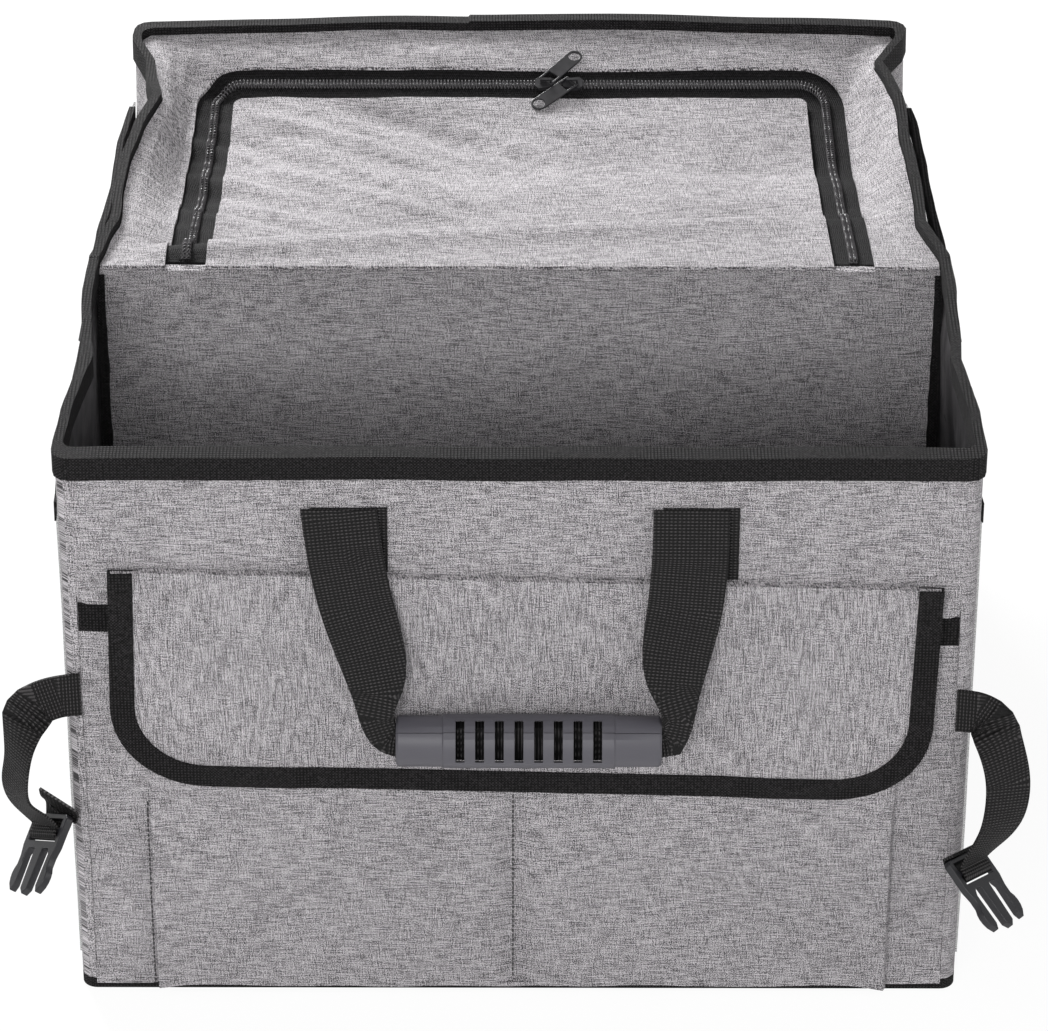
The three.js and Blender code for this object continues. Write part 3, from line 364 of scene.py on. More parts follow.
# %% [markdown]
# ## How the cloth gives
# Cloth over a stiff board stays flat, and between its seams it puffs out and creases. Every cloth
# piece is moved by one and the same field of small bends, so that layers that lie on each other
# stay apart, whatever the creases do. Where rigid things touch the cloth the field is nought.
# All its numbers are millimetres.


# %% The field of bends
def ease(value, low, high):
    """Rises softly from 0 at low to 1 at high."""
    share = min(max((value - low) / (high - low), 0.0), 1.0)
    return share * share * (3 - 2 * share)


def bell(value, width):
    """1 at nought, and fading within a few widths on both sides."""
    return math.exp(-((value / width) ** 2))


def rumple(a, b, seed):
    """A smooth bumpiness from about -1 to 1. Each seed gives another one."""
    return noise.noise(Vector((a, b, seed)))


DIVIDER_MIDDLE = -37.1
DIVIDER_FACE = -40.1
SEAM_X = 3.0
SEAM_DEPTH = 1.4
BELLOWS_DEPTH = 2.4
POCKET_FACE = -240.2
POCKET_SIDE = 192
POCKET_TOP = 126


def side_bend(p):
    """The soft side walls bow and dent between the front, the divider and the rear."""
    free = ease(abs(p.x), 192, 212) * ease(p.y, -236, -196) * ease(-p.y, -237, -205)
    free *= ease(abs(p.y - DIVIDER_MIDDLE), 5, 30) * ease(p.z, 5, 70)
    hand = 3.0 if p.x < 0 else 9.0
    dent = 3.2 * rumple(p.y / 78, p.z / 90, hand) + 1.6 * rumple(p.y / 30, p.z / 70, hand + 1)
    return free * dent


def lid_bend(p):
    """The lid sags off a puffed shoulder behind the divider and creases towards its left corner."""
    free = ease(206 - abs(p.x), 0, 26) * ease(p.y, -37, -22) * (1 - ease(p.y, 212, 232))
    free *= 1 - bell(p.y - 200, 20) * ease(176 - abs(p.x), 0, 16)
    behind = p.y - (-8 + 0.136 * (p.x + 180))
    fold = 1 - 0.75 * ease(p.x, 110, 175)
    drop = ease(behind, -3, 9) * (1 - ease(behind, 9, 80))
    shoulder = fold * (5.0 * bell(behind + 14, 13) - 7.0 * drop - 5.0 * bell(behind - 4, 4))
    over = (0.5 * p.x + 0.86 * p.y) / 15
    down = (0.86 * p.x - 0.5 * p.y) / 120
    inner = ease(168 - abs(p.x), 0, 12) * ease(188 - p.y, 0, 12)
    fan = 4.8 * rumple(over, down, 21.0) * ease(-p.x, -60, 90) * ease(p.y, 15, 50)
    soft = 5.5 * rumple(p.x / 70, p.y / 48, 31.0) + 1.2 * inner * rumple(p.x / 30, p.y / 22, 33.0)
    return free * (shoulder + fan + soft * ease(behind, 0, 45))


def front_bend(p):
    """The pocket puffs out beside its middle seam, and the cloth at its sides dents."""
    near_handle = ease(abs(p.x - 5), 96, 125) if p.z > 118 else 1.0
    seam = ease(abs(p.x + SEAM_X), 1, 26)
    puff = 1.3 * seam * (0.55 + rumple(p.x / 70, p.z / 60, 41.0))
    puff = puff * ease(p.z, 4, 40) * ease(-p.z, -215, -150)
    ripple = 1.4 * abs(rumple(p.x / 26, p.z / 60, 43.0))
    ripple = ripple * ease(abs(p.x), 175, 200) * ease(p.z, 8, 40)
    dent = 1.6 * bell((p.x - 205) * 0.8 - (p.z - 150) * 0.6, 7) * bell(p.z - 150, 28)
    lift = 0.0
    if p.y < POCKET_FACE and abs(p.x) < POCKET_SIDE:
        groove = SEAM_DEPTH * ease(abs(p.x + SEAM_X), 0.35, 0.9)
        lift = SEAM_DEPTH + (groove - SEAM_DEPTH) * ease(p.z, 12, 20)
        lift += BELLOWS_DEPTH * ease(abs(p.x), POCKET_SIDE - 18, POCKET_SIDE - 3)
        lift *= ease(-p.z, -POCKET_TOP, -POCKET_TOP + 12)
    soft = near_handle * (max(puff, 0.0) + ripple + dent)
    return -lift - soft * ease(-p.z, -300, -262) * ease(218 - abs(p.x), 0, 8)


def divider_bend(p):
    """The divider's cloth stands off its board in long soft swells."""
    free = ease(212 - abs(p.x), 0, 40) * ease(p.z, 10, 60) * ease(-p.z, -320, -296)
    swell = 2.4 * rumple(p.x / 85, p.z / 62, 51.0) + 1.0 * rumple(p.x / 34, p.z / 40, 53.0)
    return -free * max(swell + 0.7, 0.0)


def sway(p):
    """How far the cloth at p stands from the plain solids."""
    move = Vector((0, 0, 0))
    move.x += side_bend(p)
    if p.z > 284 and p.y > -39.2:
        move.z += lid_bend(p)
    if p.z > 296 and abs(p.y - DIVIDER_MIDDLE) > 3.2:
        at_rim = max(ease(abs(p.x), 196, 214), ease(abs(p.y), 222, 236))
        move.z += 1.5 * rumple(p.x / 70, p.y / 55, 61.0) * ease(p.z, 296, 320) * at_rim
    if p.y < -238:
        move.y += front_bend(p)
    if abs(p.y - DIVIDER_FACE) < 1.3 and p.z < 321.2 and abs(p.x) < 226:
        move.y += divider_bend(p)
    return move


print("bend at the lid's middle", sway(Vector((0, 100, 295))))

# %% [markdown]
# ## Cutting the cloth finer
# A solid from the model has only as many corners as its plain shape needs. A merged copy of it is
# cut by planes every few millimetres, moved by the field and shaded smooth. It replaces the plain
# solid and keeps its place, and the size it was cut to is printed.


# %% Cloth from a solid
def merged_copy(node):
    """A mesh in the making with the solid's faces, joined at their shared corners."""
    shape = bmesh.new()
    shape.from_mesh(nodes[node].data)
    bmesh.ops.remove_doubles(shape, verts=shape.verts, dist=2e-6)
    return shape


def cut_at(shape, axis, place):
    """Cuts the shape by a plane square to an axis, place millimetres along it."""
    normal = Vector([1.0 if i == axis else 0.0 for i in range(3)])
    everything = shape.verts[:] + shape.edges[:] + shape.faces[:]
    bmesh.ops.bisect_plane(
        shape, geom=everything, dist=1e-6, plane_co=normal * place * MM, plane_no=normal
    )


def cut_across(shape, axis, step):
    """Cuts the shape by planes square to an axis, every step millimetres."""
    places = [v.co[axis] for v in shape.verts]
    low, high = min(places), max(places)
    count = int((high - low) / (step * MM))
    for i in range(1, count + 1):
        cut_at(shape, axis, (low + (high - low) * i / (count + 1)) / MM)


def finished(shape, name, material, corner=35):
    """Makes the object. Edges that turn more than corner degrees stay sharp."""
    mesh = bpy.data.meshes.new(name)
    shape.to_mesh(mesh)
    shape.free()
    mesh.materials.append(material)
    mesh.shade_smooth()
    mesh.set_sharp_from_angle(angle=math.radians(corner))
    piece = bpy.data.objects.new(name, mesh)
    bpy.context.scene.collection.objects.link(piece)
    return piece


def stands_for(piece, node, body="box"):
    """The piece takes the plain solid's place, which is hidden, and goes on its body."""
    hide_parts(node)
    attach(piece, body)


def surface(shape):
    return sum(face.calc_area() for face in shape.faces)


def rounded_edges(piece, width, segments=2, sharper_than=50):
    """Rounds the edges that turn more than so many degrees. width is in millimetres."""
    edge = piece.modifiers.new("edge", "BEVEL")
    edge.width = width * MM
    edge.segments = segments
    edge.limit_method = "ANGLE"
    edge.angle_limit = math.radians(sharper_than)
    return edge


def cloth(
    node, name, material, steps, wide,
    body="box", edge=0.0, also=None, lines=(),
):
    """A cloth piece that is cut finer and bends with the field. wide is its cut width in metres.

    steps gives the millimetres between cuts along X, Y and Z, and lines gives single cuts. also is
    a move of this piece alone, on top of the field.
    """
    shape = merged_copy(node)
    bmesh.ops.dissolve_limit(shape, angle_limit=0.002, verts=shape.verts, edges=shape.edges)
    for axis, place in lines:
        cut_at(shape, axis, place)
    for axis, step in enumerate(steps):
        if step:
            cut_across(shape, axis, step)
    long = surface(shape) / 2 / wide
    for vert in shape.verts:
        at = vert.co / MM
        move = sway(at)
        if also:
            move += also(at)
        vert.co = (at + move) * MM
    bmesh.ops.triangulate(shape, faces=[f for f in shape.faces if len(f.verts) > 4])
    piece = finished(shape, name, material)
    if edge:
        rounded_edges(piece, edge)
    stands_for(piece, node, body)
    print(name, len(piece.data.polygons), "faces, cut", wide, "by", round(long, 3))
    return piece


# %% [markdown]
# ## Walls
# The front and rear are flat cloth over boards, the sides are soft and creased inwards at both
# compartments, and the base is a shallow cloth tray whose edge shows under the front. The tray has
# the black tape finish as painted shade: under the front's hem its grey cloth lies in shadow.

# %% Walls
HEM_DROP = 2.2
HEM_WAVE = 1.8


def hem(p):
    """The front's cloth hangs a little over the tray's edge, in a wavy line."""
    low = ease(-p.z, -16, -6.3)
    seam = math.copysign(0.45 * ease(abs(p.x), 217, 221), p.x)
    out = 0.6 + 1.8 * ease(abs(p.x), 189, 193)
    down = HEM_DROP + HEM_WAVE * rumple(p.x / 46, 0.0, 81.0)
    return Vector((seam, -out * low, -low * down))


cloth("front_panel", "front_wall_cloth", panel_cloth, (9, 0, 9), 0.443, also=hem)
cloth("front_band", "front_band_cloth", panel_cloth, (9, 0, 9), 0.443, also=hem)
cloth("rear_panel", "rear_wall_cloth", panel_cloth, (12, 0, 12), 0.443)
cloth("left_side_panel", "left_wall_cloth", side_cloth, (0, 7, 8), 0.496)
cloth("right_side_panel", "right_wall_cloth", side_cloth, (0, 7, 8), 0.496)
# Black tape finish on the tray: painted shade for the grey cloth's shadowed edge under the front.
cloth("base_cloth", "base_tray_cloth", binding_tape, (0, 0, 0), 0.472, edge=0.5)

# %% [markdown]
# ## Linings and divider
# The open compartment is lined with a black coated cloth that hangs in upright creases. The divider
# is grey cloth over a board. Its creases belong to the cloth alone, so they only stand outwards.


# %% Linings and divider
def upright_creases(p):
    """The lining's two sides hang in folds that stand inwards and die out at the seams."""
    if abs(p.x) < 196:
        return Vector((0, 0, 0))
    inside = ease(p.y, -232, -210) * ease(-p.y, 42, 60)
    inside = inside * ease(p.z, 10, 60) * (1 - ease(p.z, 285, 312))
    crease = abs(rumple(p.y / 15, p.z / 170, 71.0)) * 5.0 + rumple(p.y / 8, p.z / 60, 73.0) * 0.8
    return Vector((-math.copysign(inside * max(crease, 0.0), p.x), 0, 0))


cloth(
    "front_lining", "front_lining_cloth", lining, (20, 5, 9), 0.82,
    also=upright_creases,
)
cloth("rear_lining", "rear_lining_cloth", lining, (20, 9, 12), 0.95)
cloth(
    "divider_cover", "divider_cloth", panel_cloth, (8, 0, 8), 0.455,
    edge=0.8,
)

# %% [markdown]
# A ribbed tape binds each upright edge of the divider, and shows as a dark strip beside the lining.


# %% Divider bindings
STRIP_WIDE = 7.2
STRIP_THICK = 1.1


def upright_strip(name, x, y, z_low, z_high):
    """A thin strip of tape that stands upright and wavers a little, given in millimetres."""
    shape = bmesh.new()
    size = Matrix.Diagonal((STRIP_WIDE * MM, STRIP_THICK * MM, (z_high - z_low) * MM, 1))
    middle = Matrix.Translation(Vector((x, y, (z_low + z_high) / 2)) * MM)
    bmesh.ops.create_cube(shape, size=1.0, matrix=middle @ size)
    cut_across(shape, 2, 7)
    for vert in shape.verts:
        at = vert.co / MM
        waver = 1.4 * rumple(at.z / 21, x, 91.0)
        vert.co.x += math.copysign(waver * MM, -x)
        vert.co.y -= 0.5 * abs(rumple(at.z / 13, x, 93.0)) * MM
    strip = finished(shape, name, binding_tape)
    rounded_edges(strip, 0.3)
    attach(strip, "box")


divider_low, divider_high = (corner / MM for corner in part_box("divider_cover"))
for side, hand in (("left", -1), ("right", 1)):
    edge_x = hand * (divider_high.x - 2.9)
    upright_strip(f"{side}_divider_tape", edge_x, divider_low.y - 0.9, 8, divider_high.z - 2)
print("divider box", divider_low, divider_high)

# %% [markdown]
# ## Pocket and flap
# The pocket lies flat with a bellows fold at each side and a seam down its middle. The flap over it
# is edged with a tape, and its cloth is turned so that the streaks stand upright.

# %% Pocket and flap
seam = [(0, -SEAM_X + away) for away in (-2.5, -0.9, -0.35, 0.35, 0.9, 2.5)]
cloth(
    "front_pocket", "pocket_cloth", panel_cloth, (6, 0, 9), 0.38,
    edge=0.5, also=hem, lines=seam,
)
cloth(
    "pocket_mouth_binding", "pocket_mouth_tape", binding_tape, (9, 0, 0), 0.035,
)
cloth("pocket_flap", "flap_cloth", flap_cloth, (8, 0, 8), 0.418, edge=0.4)
cloth(
    "pocket_flap_binding", "flap_tape", binding_tape, (7, 0, 7), 0.025,
    edge=0.35,
)

# %% [markdown]
# ## Where the zip runs
# The lid's own curve and the zip's U are written out here, as the solids have them, so that the
# tapes and later the coil can be laid on them. All numbers are millimetres.

# %% The zip's line
DEPTH = 480.0
HEIGHT = 328.0
REAR_TAPER = 0.045
REAR_BOW = 9.0
LID_BASE = 321.3
LID_SAG = 26.0
LID_REAR = 232.6
LID_START = -33.8
ZIP_HALF = 180.0
ZIP_REAR = 200.1
ZIP_CORNER = 16.0
ZIP_START = -31.5
BOW_START = 219.0


def lid_height(y):
    """How high the lid lies at this depth. It sags in the middle."""
    share = min(max((y - LID_START) / (LID_REAR - LID_START), 0.0), 1.0)
    return LID_BASE - LID_SAG * math.sin(math.pi * share**1.5)


def settled(p):
    """The rear's taper and bow, as the solids have them."""
    back = max(p.y + DEPTH / 2, 0.0) / DEPTH
    bow = ease(p.z, 120.0, HEIGHT) * max(math.cos(math.pi * p.x / 444.0), 0.0)
    push = REAR_BOW * bow * min(max((p.y - BOW_START) / (LID_REAR - BOW_START), 0.0), 1.0)
    return Vector((p.x * (1 - REAR_TAPER * back * p.z / HEIGHT), p.y + push, p.z))


def zip_place(run, offset):
    """The place and outward direction at a distance along the U, offset outside its middle."""
    leg = ZIP_REAR - ZIP_CORNER - ZIP_START
    turn = ZIP_CORNER * math.pi / 2
    rear = 2 * (ZIP_HALF - ZIP_CORNER)
    half = leg + turn + rear / 2
    hand = -1 if run < half else 1
    run = run if run < half else 2 * half - run
    if run < leg:
        at, out = Vector((ZIP_HALF, ZIP_START + run, 0)), Vector((1, 0, 0))
    elif run < leg + turn:
        angle = (run - leg) / ZIP_CORNER
        out = Vector((math.cos(angle), math.sin(angle), 0))
        at = Vector((ZIP_HALF - ZIP_CORNER, ZIP_REAR - ZIP_CORNER, 0)) + out * ZIP_CORNER
    else:
        at = Vector((ZIP_HALF - ZIP_CORNER - (run - leg - turn), ZIP_REAR, 0))
        out = Vector((0, 1, 0))
    at += out * offset
    return Vector((hand * at.x, at.y, at.z)), Vector((hand * out.x, out.y, 0)), 2 * half


def pressed(p):
    """Flattens a tape's plain bead, because the wound coil stands there instead."""
    return Vector((0, 0, -max(p.z - lid_height(p.y) + 0.2, 0.0)))


print("zip line length", zip_place(0.0, 0.0)[2])

# %% [markdown]
# ## Rims, lid and zip tapes
# A ribbed tape is folded over every top edge. The lid hangs a little between its zip's three runs,
# puffs out behind the divider and creases where it is pulled towards the corners.

# %% Rims, lid and zip tapes
JOINT_X = -30.0
JOINT_STEP = 0.8


def overlapped(p):
    """On the rear rim the tape's end is laid over its start, and so stands off from there."""
    over = ease(p.x, JOINT_X, JOINT_X + JOINT_STEP) * ease(p.y, 200, 215)
    return Vector((0, 0, over * 0.15 * (p.z - 320)))


joint = [(0, JOINT_X), (0, JOINT_X + JOINT_STEP)]
cloth(
    "front_rim_binding", "front_rim_tape", binding_tape, (9, 8, 0), 0.028,
    edge=0.5,
)
cloth(
    "rear_rim_binding", "rear_rim_tape", binding_tape, (9, 8, 0), 0.028,
    edge=0.5, also=overlapped, lines=joint,
)
cloth(
    "lid_frame", "lid_border_cloth", lid_cloth_painted_lighter, (4, 4, 0), 0.442,
    edge=0.9,
)
cloth(
    "lid_flap", "lid_cloth_painted_lighter", lid_cloth_painted_lighter, (3, 2.5, 0), 0.332,
    body="lid", edge=0.9,
)
cloth(
    "frame_stringer", "border_zip_tape", zip_tape, (3, 3, 0), 0.016,
    also=pressed,
)
cloth(
    "lid_stringer", "lid_zip_tape", zip_tape, (3, 3, 0), 0.016,
    body="lid", also=pressed,
)

# %% [markdown]
# ## Side nets
# Each side carries a flat pocket of black net with a bound mouth. The net is see-through: its holes
# are in the finish, because thousands of modelled holes would weigh far more than they show.

# %% Side nets
for side in ("left", "right"):
    cloth(f"{side}_mesh_pocket", f"{side}_side_net", net, (0, 9, 9), 0.448)
    cloth(
        f"{side}_mesh_binding", f"{side}_net_tape", binding_tape, (0, 9, 0), 0.022,
    )

# %% [markdown]
# ## Webbing
# The straps and handles are flat ribbons that turn and fold. A copy of each solid gets its long
# edges creased and is subdivided, which rounds every fold and leaves the section flat. The weave
# follows the ribbon, so each corner of a face is told how far along and across the ribbon it is.
# The middle line's points are those of the solid: place, then direction of the width.


# %% Webbing from a solid
def smooth_ribbon(node):
    """The solid in four-sided faces, with its long edges creased so that they stay square."""
    shape = merged_copy(node)
    limits = {"angle_face_threshold": 1.2, "angle_shape_threshold": 1.2}
    bmesh.ops.join_triangles(shape, faces=shape.faces, cmp_seam=False, cmp_sharp=False, **limits)
    layer = shape.edges.layers.float.new("crease_edge")
    for edge in shape.edges:
        if len(edge.link_faces) == 2 and edge.calc_face_angle(0.0) > math.radians(48):
            edge[layer] = 1.0
    return shape


def apply_subdivision(piece, levels):
    """Subdivides the piece for good, because its UV map is laid on the smooth shape."""
    rounding = piece.modifiers.new("rounding", "SUBSURF")
    rounding.levels = levels
    rounding.render_levels = levels
    graph = bpy.context.evaluated_depsgraph_get()
    smooth = bpy.data.meshes.new_from_object(piece.evaluated_get(graph))
    piece.modifiers.clear()
    piece.data = smooth


def lay_chart(piece, line):
    """Gives each face corner its place along and across the ribbon, in metres."""
    points = [Vector(row[:3]) * MM for row in line]
    widths = [Vector(row[3:]).normalized() for row in line]
    runs = [0.0]
    for a, b in zip(points, points[1:]):
        runs.append(runs[-1] + (b - a).length)
    chart = piece.data.uv_layers.new(name="along")
    places = []
    for vert in piece.data.vertices:
        best = None
        for i, (a, b) in enumerate(zip(points, points[1:])):
            step = b - a
            share = min(max((vert.co - a).dot(step) / step.length_squared, 0.0), 1.0)
            foot = a + step * share
            away = (vert.co - foot).length_squared
            if best is None or away < best[0]:
                across = widths[i].lerp(widths[i + 1], share)
                best = (away, runs[i] + step.length * share, (vert.co - foot).dot(across))
        places.append(best[1:])
    for loop in piece.data.loops:
        chart.data[loop.index].uv = places[loop.vertex_index]
    return runs[-1]


def ribbon(node, name, line, body="box"):
    """A webbing that is smooth, charted along its middle line and in its solid's place."""
    piece = finished(smooth_ribbon(node), name, webbing, corner=50)
    apply_subdivision(piece, 2)
    long = lay_chart(piece, line)
    stands_for(piece, node, body)
    print(name, "length", round(long, 3), "faces", len(piece.data.polygons))
    return piece, long


# %% [markdown]
# The closing straps leave the corner seams, fold over, fall to the front and go round the bar of
# the buckle, with a short tail behind. Short tabs at the rear seams hold the other buckle halves.

# %% Closing straps
LEFT_STRAP = [
    (-222.2, -241.0, 187.0, 0.0, 0.0, 1.0),
    (-233.0, -243.0, 187.0, 0.0, 0.0, 1.0),
    (-244.0, -245.5, 184.0, -0.1, 0.1, 0.99),
    (-252.0, -248.0, 174.0, -0.35, 0.5, 0.8),
    (-256.0, -251.0, 149.0, -0.5, 0.86, 0.1),
    (-257.0, -249.0, 128.0, -0.6, 0.76, -0.25),
    (-243.8, -245.0, 109.0, -0.58, 0.68, -0.45),
    (-245.0, -248.9, 104.7, -0.58, 0.68, -0.45),
    (-241.5, -247.9, 101.8, -0.58, 0.68, -0.45),
    (-236.1, -237.6, 110.2, -0.58, 0.68, -0.45),
    (-237.1, -241.6, 122.2, -0.58, 0.68, -0.45),
]
RIGHT_STRAP = [
    (222.2, -241.0, 178.0, 0.0, 0.0, 1.0),
    (233.0, -243.0, 178.0, 0.0, 0.0, 1.0),
    (239.0, -245.0, 175.0, 0.1, 0.1, 0.99),
    (245.0, -249.0, 162.0, 0.5, 0.5, 0.7),
    (250.0, -253.0, 140.0, 0.91, 0.4, 0.1),
    (247.0, -256.0, 116.0, 0.88, 0.48, -0.05),
    (233.9, -255.0, 92.9, 0.58, 0.78, -0.26),
    (236.6, -258.4, 88.8, 0.58, 0.78, -0.26),
    (233.7, -257.4, 85.2, 0.58, 0.78, -0.26),
    (225.3, -248.7, 92.8, 0.58, 0.78, -0.26),
    (230.3, -250.7, 97.8, 0.58, 0.78, -0.26),
]
SOCKET_TAB = [
    (-216.3, 241.0, 187.0, 0.0, 0.0, 1.0),
    (-227.1, 243.0, 187.0, 0.0, 0.0, 1.0),
    (-236.1, 245.0, 182.0, 0.1, 0.1, 0.99),
    (-244.1, 246.0, 171.0, 0.54, 0.65, 0.54),
    (-243.7, 245.8, 154.5, 0.67, 0.74, -0.02),
    (-244.2, 246.1, 148.2, 0.67, 0.74, -0.02),
    (-240.9, 243.1, 147.0, 0.67, 0.74, -0.02),
    (-238.7, 241.4, 153.9, 0.67, 0.74, -0.02),
    (-238.7, 241.4, 159.9, 0.67, 0.74, -0.02),
]
MIRRORED_TAB = [(-x, y, z, -wx, wy, wz) for x, y, z, wx, wy, wz in SOCKET_TAB]
for node, name, line in (
    ("left_strap", "left_closing_strap", LEFT_STRAP),
    ("right_strap", "right_closing_strap", RIGHT_STRAP),
    ("left_socket_tab", "left_rear_tab", SOCKET_TAB),
    ("right_socket_tab", "right_rear_tab", MIRRORED_TAB),
):
    piece, long = ribbon(node, name, line)

# %% [markdown]
# A handle is one webbing that hangs from two sewn ends, narrows to a bundle and runs through the
# grip. Each row holds the distance from the handle's middle, the stand-off from the wall, the
# height under the fold and the turn of the width.

# %% Handles
HANDLE_ROWS = [
    (87.5, 2.5, -0.8, 0.0),
    (86.0, 14.0, -25.4, 0.0),
    (82.5, 15.2, -53.3, 0.05),
    (76.5, 17.0, -78.7, 0.12),
    (73.0, 19.0, -99.1, 0.3),
    (76.0, 20.0, -113.0, 0.6),
    (72.0, 20.0, -125.5, 1.0),
    (61.0, 20.0, -127.0, 1.57),
]
HANDLE_MIDDLE = 5.0
HANDLE_TOP = 299.0
HANDLE_LEAN = 7.0
HANDLE_DROP = 127.0
FRONT_WALL = 240.0
REAR_WALL = 247.8


def handle_line(end, wall):
    """The webbing's middle line from fold to fold. end is -1 on the front and 1 on the rear."""
    line = []
    for hand in (-1, 1):
        half = []
        for away, out, down, turn in HANDLE_ROWS:
            lean = HANDLE_LEAN * max(1 + down / HANDLE_DROP, 0)
            x = hand * away - lean
            width = (math.cos(turn), 0.0, -hand * math.sin(turn))
            half.append((HANDLE_MIDDLE - end * x, end * (wall + out), HANDLE_TOP + down, *width))
        line += half if hand < 0 else half[::-1]
    return line


for place, end, wall in (("front", -1, FRONT_WALL), ("rear", 1, REAR_WALL)):
    body = f"{place}_handle"
    line = handle_line(end, wall)
    piece, long = ribbon(f"{place}_handle_webbing", f"{place}_handle_strap", line, body)

# %% [markdown]
# The webbing's sewn ends lie flat on the wall under the fold, each held by rows of stitches. A
# stitch is a short rounded thread, so each row is one small capsule that is repeated.


# %% Sewn ends and their stitches
def thread_row(shape, start, end, long=2.6, gap=1.2, thick=0.55):
    """Adds a row of stitches from start to end, in millimetres, to a mesh in the making."""
    run = Vector(end) - Vector(start)
    count = max(int(run.length / (long + gap)), 1)
    turn = run.to_track_quat("Z", "Y").to_matrix().to_4x4()
    for i in range(count):
        middle = (Vector(start) + run * ((i + 0.5) / count)) * MM
        size = Matrix.Diagonal((thick * MM / 2, thick * MM / 2, long * MM / 2, 1))
        bmesh.ops.create_icosphere(
            shape, subdivisions=1, radius=1.0, matrix=Matrix.Translation(middle) @ turn @ size
        )


def thread(name, base):
    """Sewing thread with a fine twist."""
    finish = Finish(name, roughness=0.5, specular=0.4)
    twist = finish.grain((2500.0, 2500.0, 2500.0), 1.0)
    finish.set("Base Color", finish.blend(twist, tinted(base, 0.6), tinted(base, 1.5)))
    return finish.material


END_ROWS = 4
FIRST_ROW = 3.5
ROW_STEP = 3.4
black_thread_and_shade_lines = thread("black_thread_and_shade_lines", (0.03, 0.029, 0.03))
for place, end in (("front", -1), ("rear", 1)):
    stitches = bmesh.new()
    for side in ("left", "right"):
        node = f"{place}_webbing_end_{side}"
        low, high = (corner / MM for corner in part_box(node))
        middle = (low.x + high.x) / 2
        line = [(middle, low.y, high.z, 1, 0, 0), (middle, low.y, low.z, 1, 0, 0)]
        ribbon(node, f"{node}_webbing", line)
        face = low.y - 0.1 if end < 0 else high.y + 0.1
        for row in range(END_ROWS):
            z = high.z - FIRST_ROW - ROW_STEP * row
            thread_row(stitches, (low.x + 2.5, face, z), (high.x - 2.5, face, z), thick=0.8)
    sewing = finished(stitches, f"{place}_end_stitches", black_thread_and_shade_lines)
    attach(sewing, "box")

# %% [markdown]
# The pocket is sewn down its middle, and its close black thread also paints the shade of the seam's
# groove. At its two sides the bellows fold casts a thin shadow, painted as a line of the same black
# thread. These lines are laid close, with hardly a gap between two stitches, and follow the cloth's
# bends.


# %% Pocket seams and painted shade lines
MIDDLE_SEAM_Y = -241.8
SIDE_SHADE_LINE_X = 190.8
SIDE_SHADE_LINE_Y = -240.3


def seam_and_shade_line(shape, x, y, z_low, z_high):
    """An upright line of close stitches on the front's cloth, in millimetres. At the folds it paints
    shade.
    """
    count = int((z_high - z_low) / 6)
    points = []
    for i in range(count + 1):
        z = z_low + (z_high - z_low) * i / count
        at = Vector((x, y, z))
        points.append(at + Vector((0, sway(at).y, 0)))
    for start, end in zip(points, points[1:]):
        thread_row(shape, start, end, long=2.8, gap=0.1, thick=1.1)


pocket_seam_and_shade_lines = bmesh.new()
# The middle seam's close black thread also paints the shade of its groove.
seam_and_shade_line(pocket_seam_and_shade_lines, -SEAM_X, MIDDLE_SEAM_Y, 10, POCKET_TOP)
# The bellows folds' lines are painted shade: black thread where the folds cast a thin shadow.
for hand in (-1, 1):
    seam_and_shade_line(pocket_seam_and_shade_lines, hand * SIDE_SHADE_LINE_X, SIDE_SHADE_LINE_Y, 7, POCKET_TOP - 4)
sewing = finished(pocket_seam_and_shade_lines, "pocket_seam_and_shade_lines", black_thread_and_shade_lines)
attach(sewing, "box")

# %% [markdown]
# ## The zip's coil
# A coil zip has a monofilament wound round each tape's edge, and the two coils mesh half a turn
# apart. A thin wire follows a helix along the zip's U, on the lid's own curve. All its numbers are
# millimetres.

# %% The zip's coil
COIL_PITCH = 2.05
COIL_STEPS = 10
COIL_WIDE = 1.2
COIL_HIGH = 1.22
COIL_MIDDLE = 1.2
COIL_OFFSET = 1.15
WIRE = 0.36


def coil(name, offset, body):
    """One wound coil, its middle offset outwards from the zip's line."""
    whole = zip_place(0.0, offset)[2]
    count = int(whole / COIL_PITCH) * COIL_STEPS
    curve = bpy.data.curves.new(name, "CURVE")
    curve.dimensions = "3D"
    curve.bevel_depth = WIRE * MM
    curve.bevel_resolution = 0
    curve.use_fill_caps = True
    spline = curve.splines.new("POLY")
    spline.points.add(count - 1)
    for i in range(count):
        at, out, _ = zip_place(whole * i / count, offset)
        angle = FULL_TURN * i / COIL_STEPS
        at += out * (COIL_WIDE * math.cos(angle))
        at.z = lid_height(at.y) + COIL_MIDDLE + COIL_HIGH * math.sin(angle)
        at = settled(at)
        at += sway(at)
        spline.points[i].co = (*(at * MM), 1)
    wound = bpy.data.objects.new(name, curve)
    bpy.context.scene.collection.objects.link(wound)
    graph = bpy.context.evaluated_depsgraph_get()
    mesh = bpy.data.meshes.new_from_object(wound.evaluated_get(graph))
    mesh.name = name
    bpy.data.objects.remove(wound)
    mesh.materials.clear()
    mesh.materials.append(coil_filament)
    mesh.shade_smooth()
    piece = bpy.data.objects.new(name, mesh)
    bpy.context.scene.collection.objects.link(piece)
    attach(piece, body)
    print(name, "turns", count // COIL_STEPS, "faces", len(mesh.polygons))


coil("border_zip_coil", COIL_OFFSET, "box")
coil("lid_zip_coil", -COIL_OFFSET, "lid")

# %% [markdown]
# ## Grips, buckles and sliders
# Mouldings and castings keep the solids' shape. A merged copy gets its flat faces joined and its
# edges rounded, because a real mould never leaves a sharp one, and light catches on the rounding.


# %% Hardware
HARD_CORNER = 32
HARD_EDGE = 38


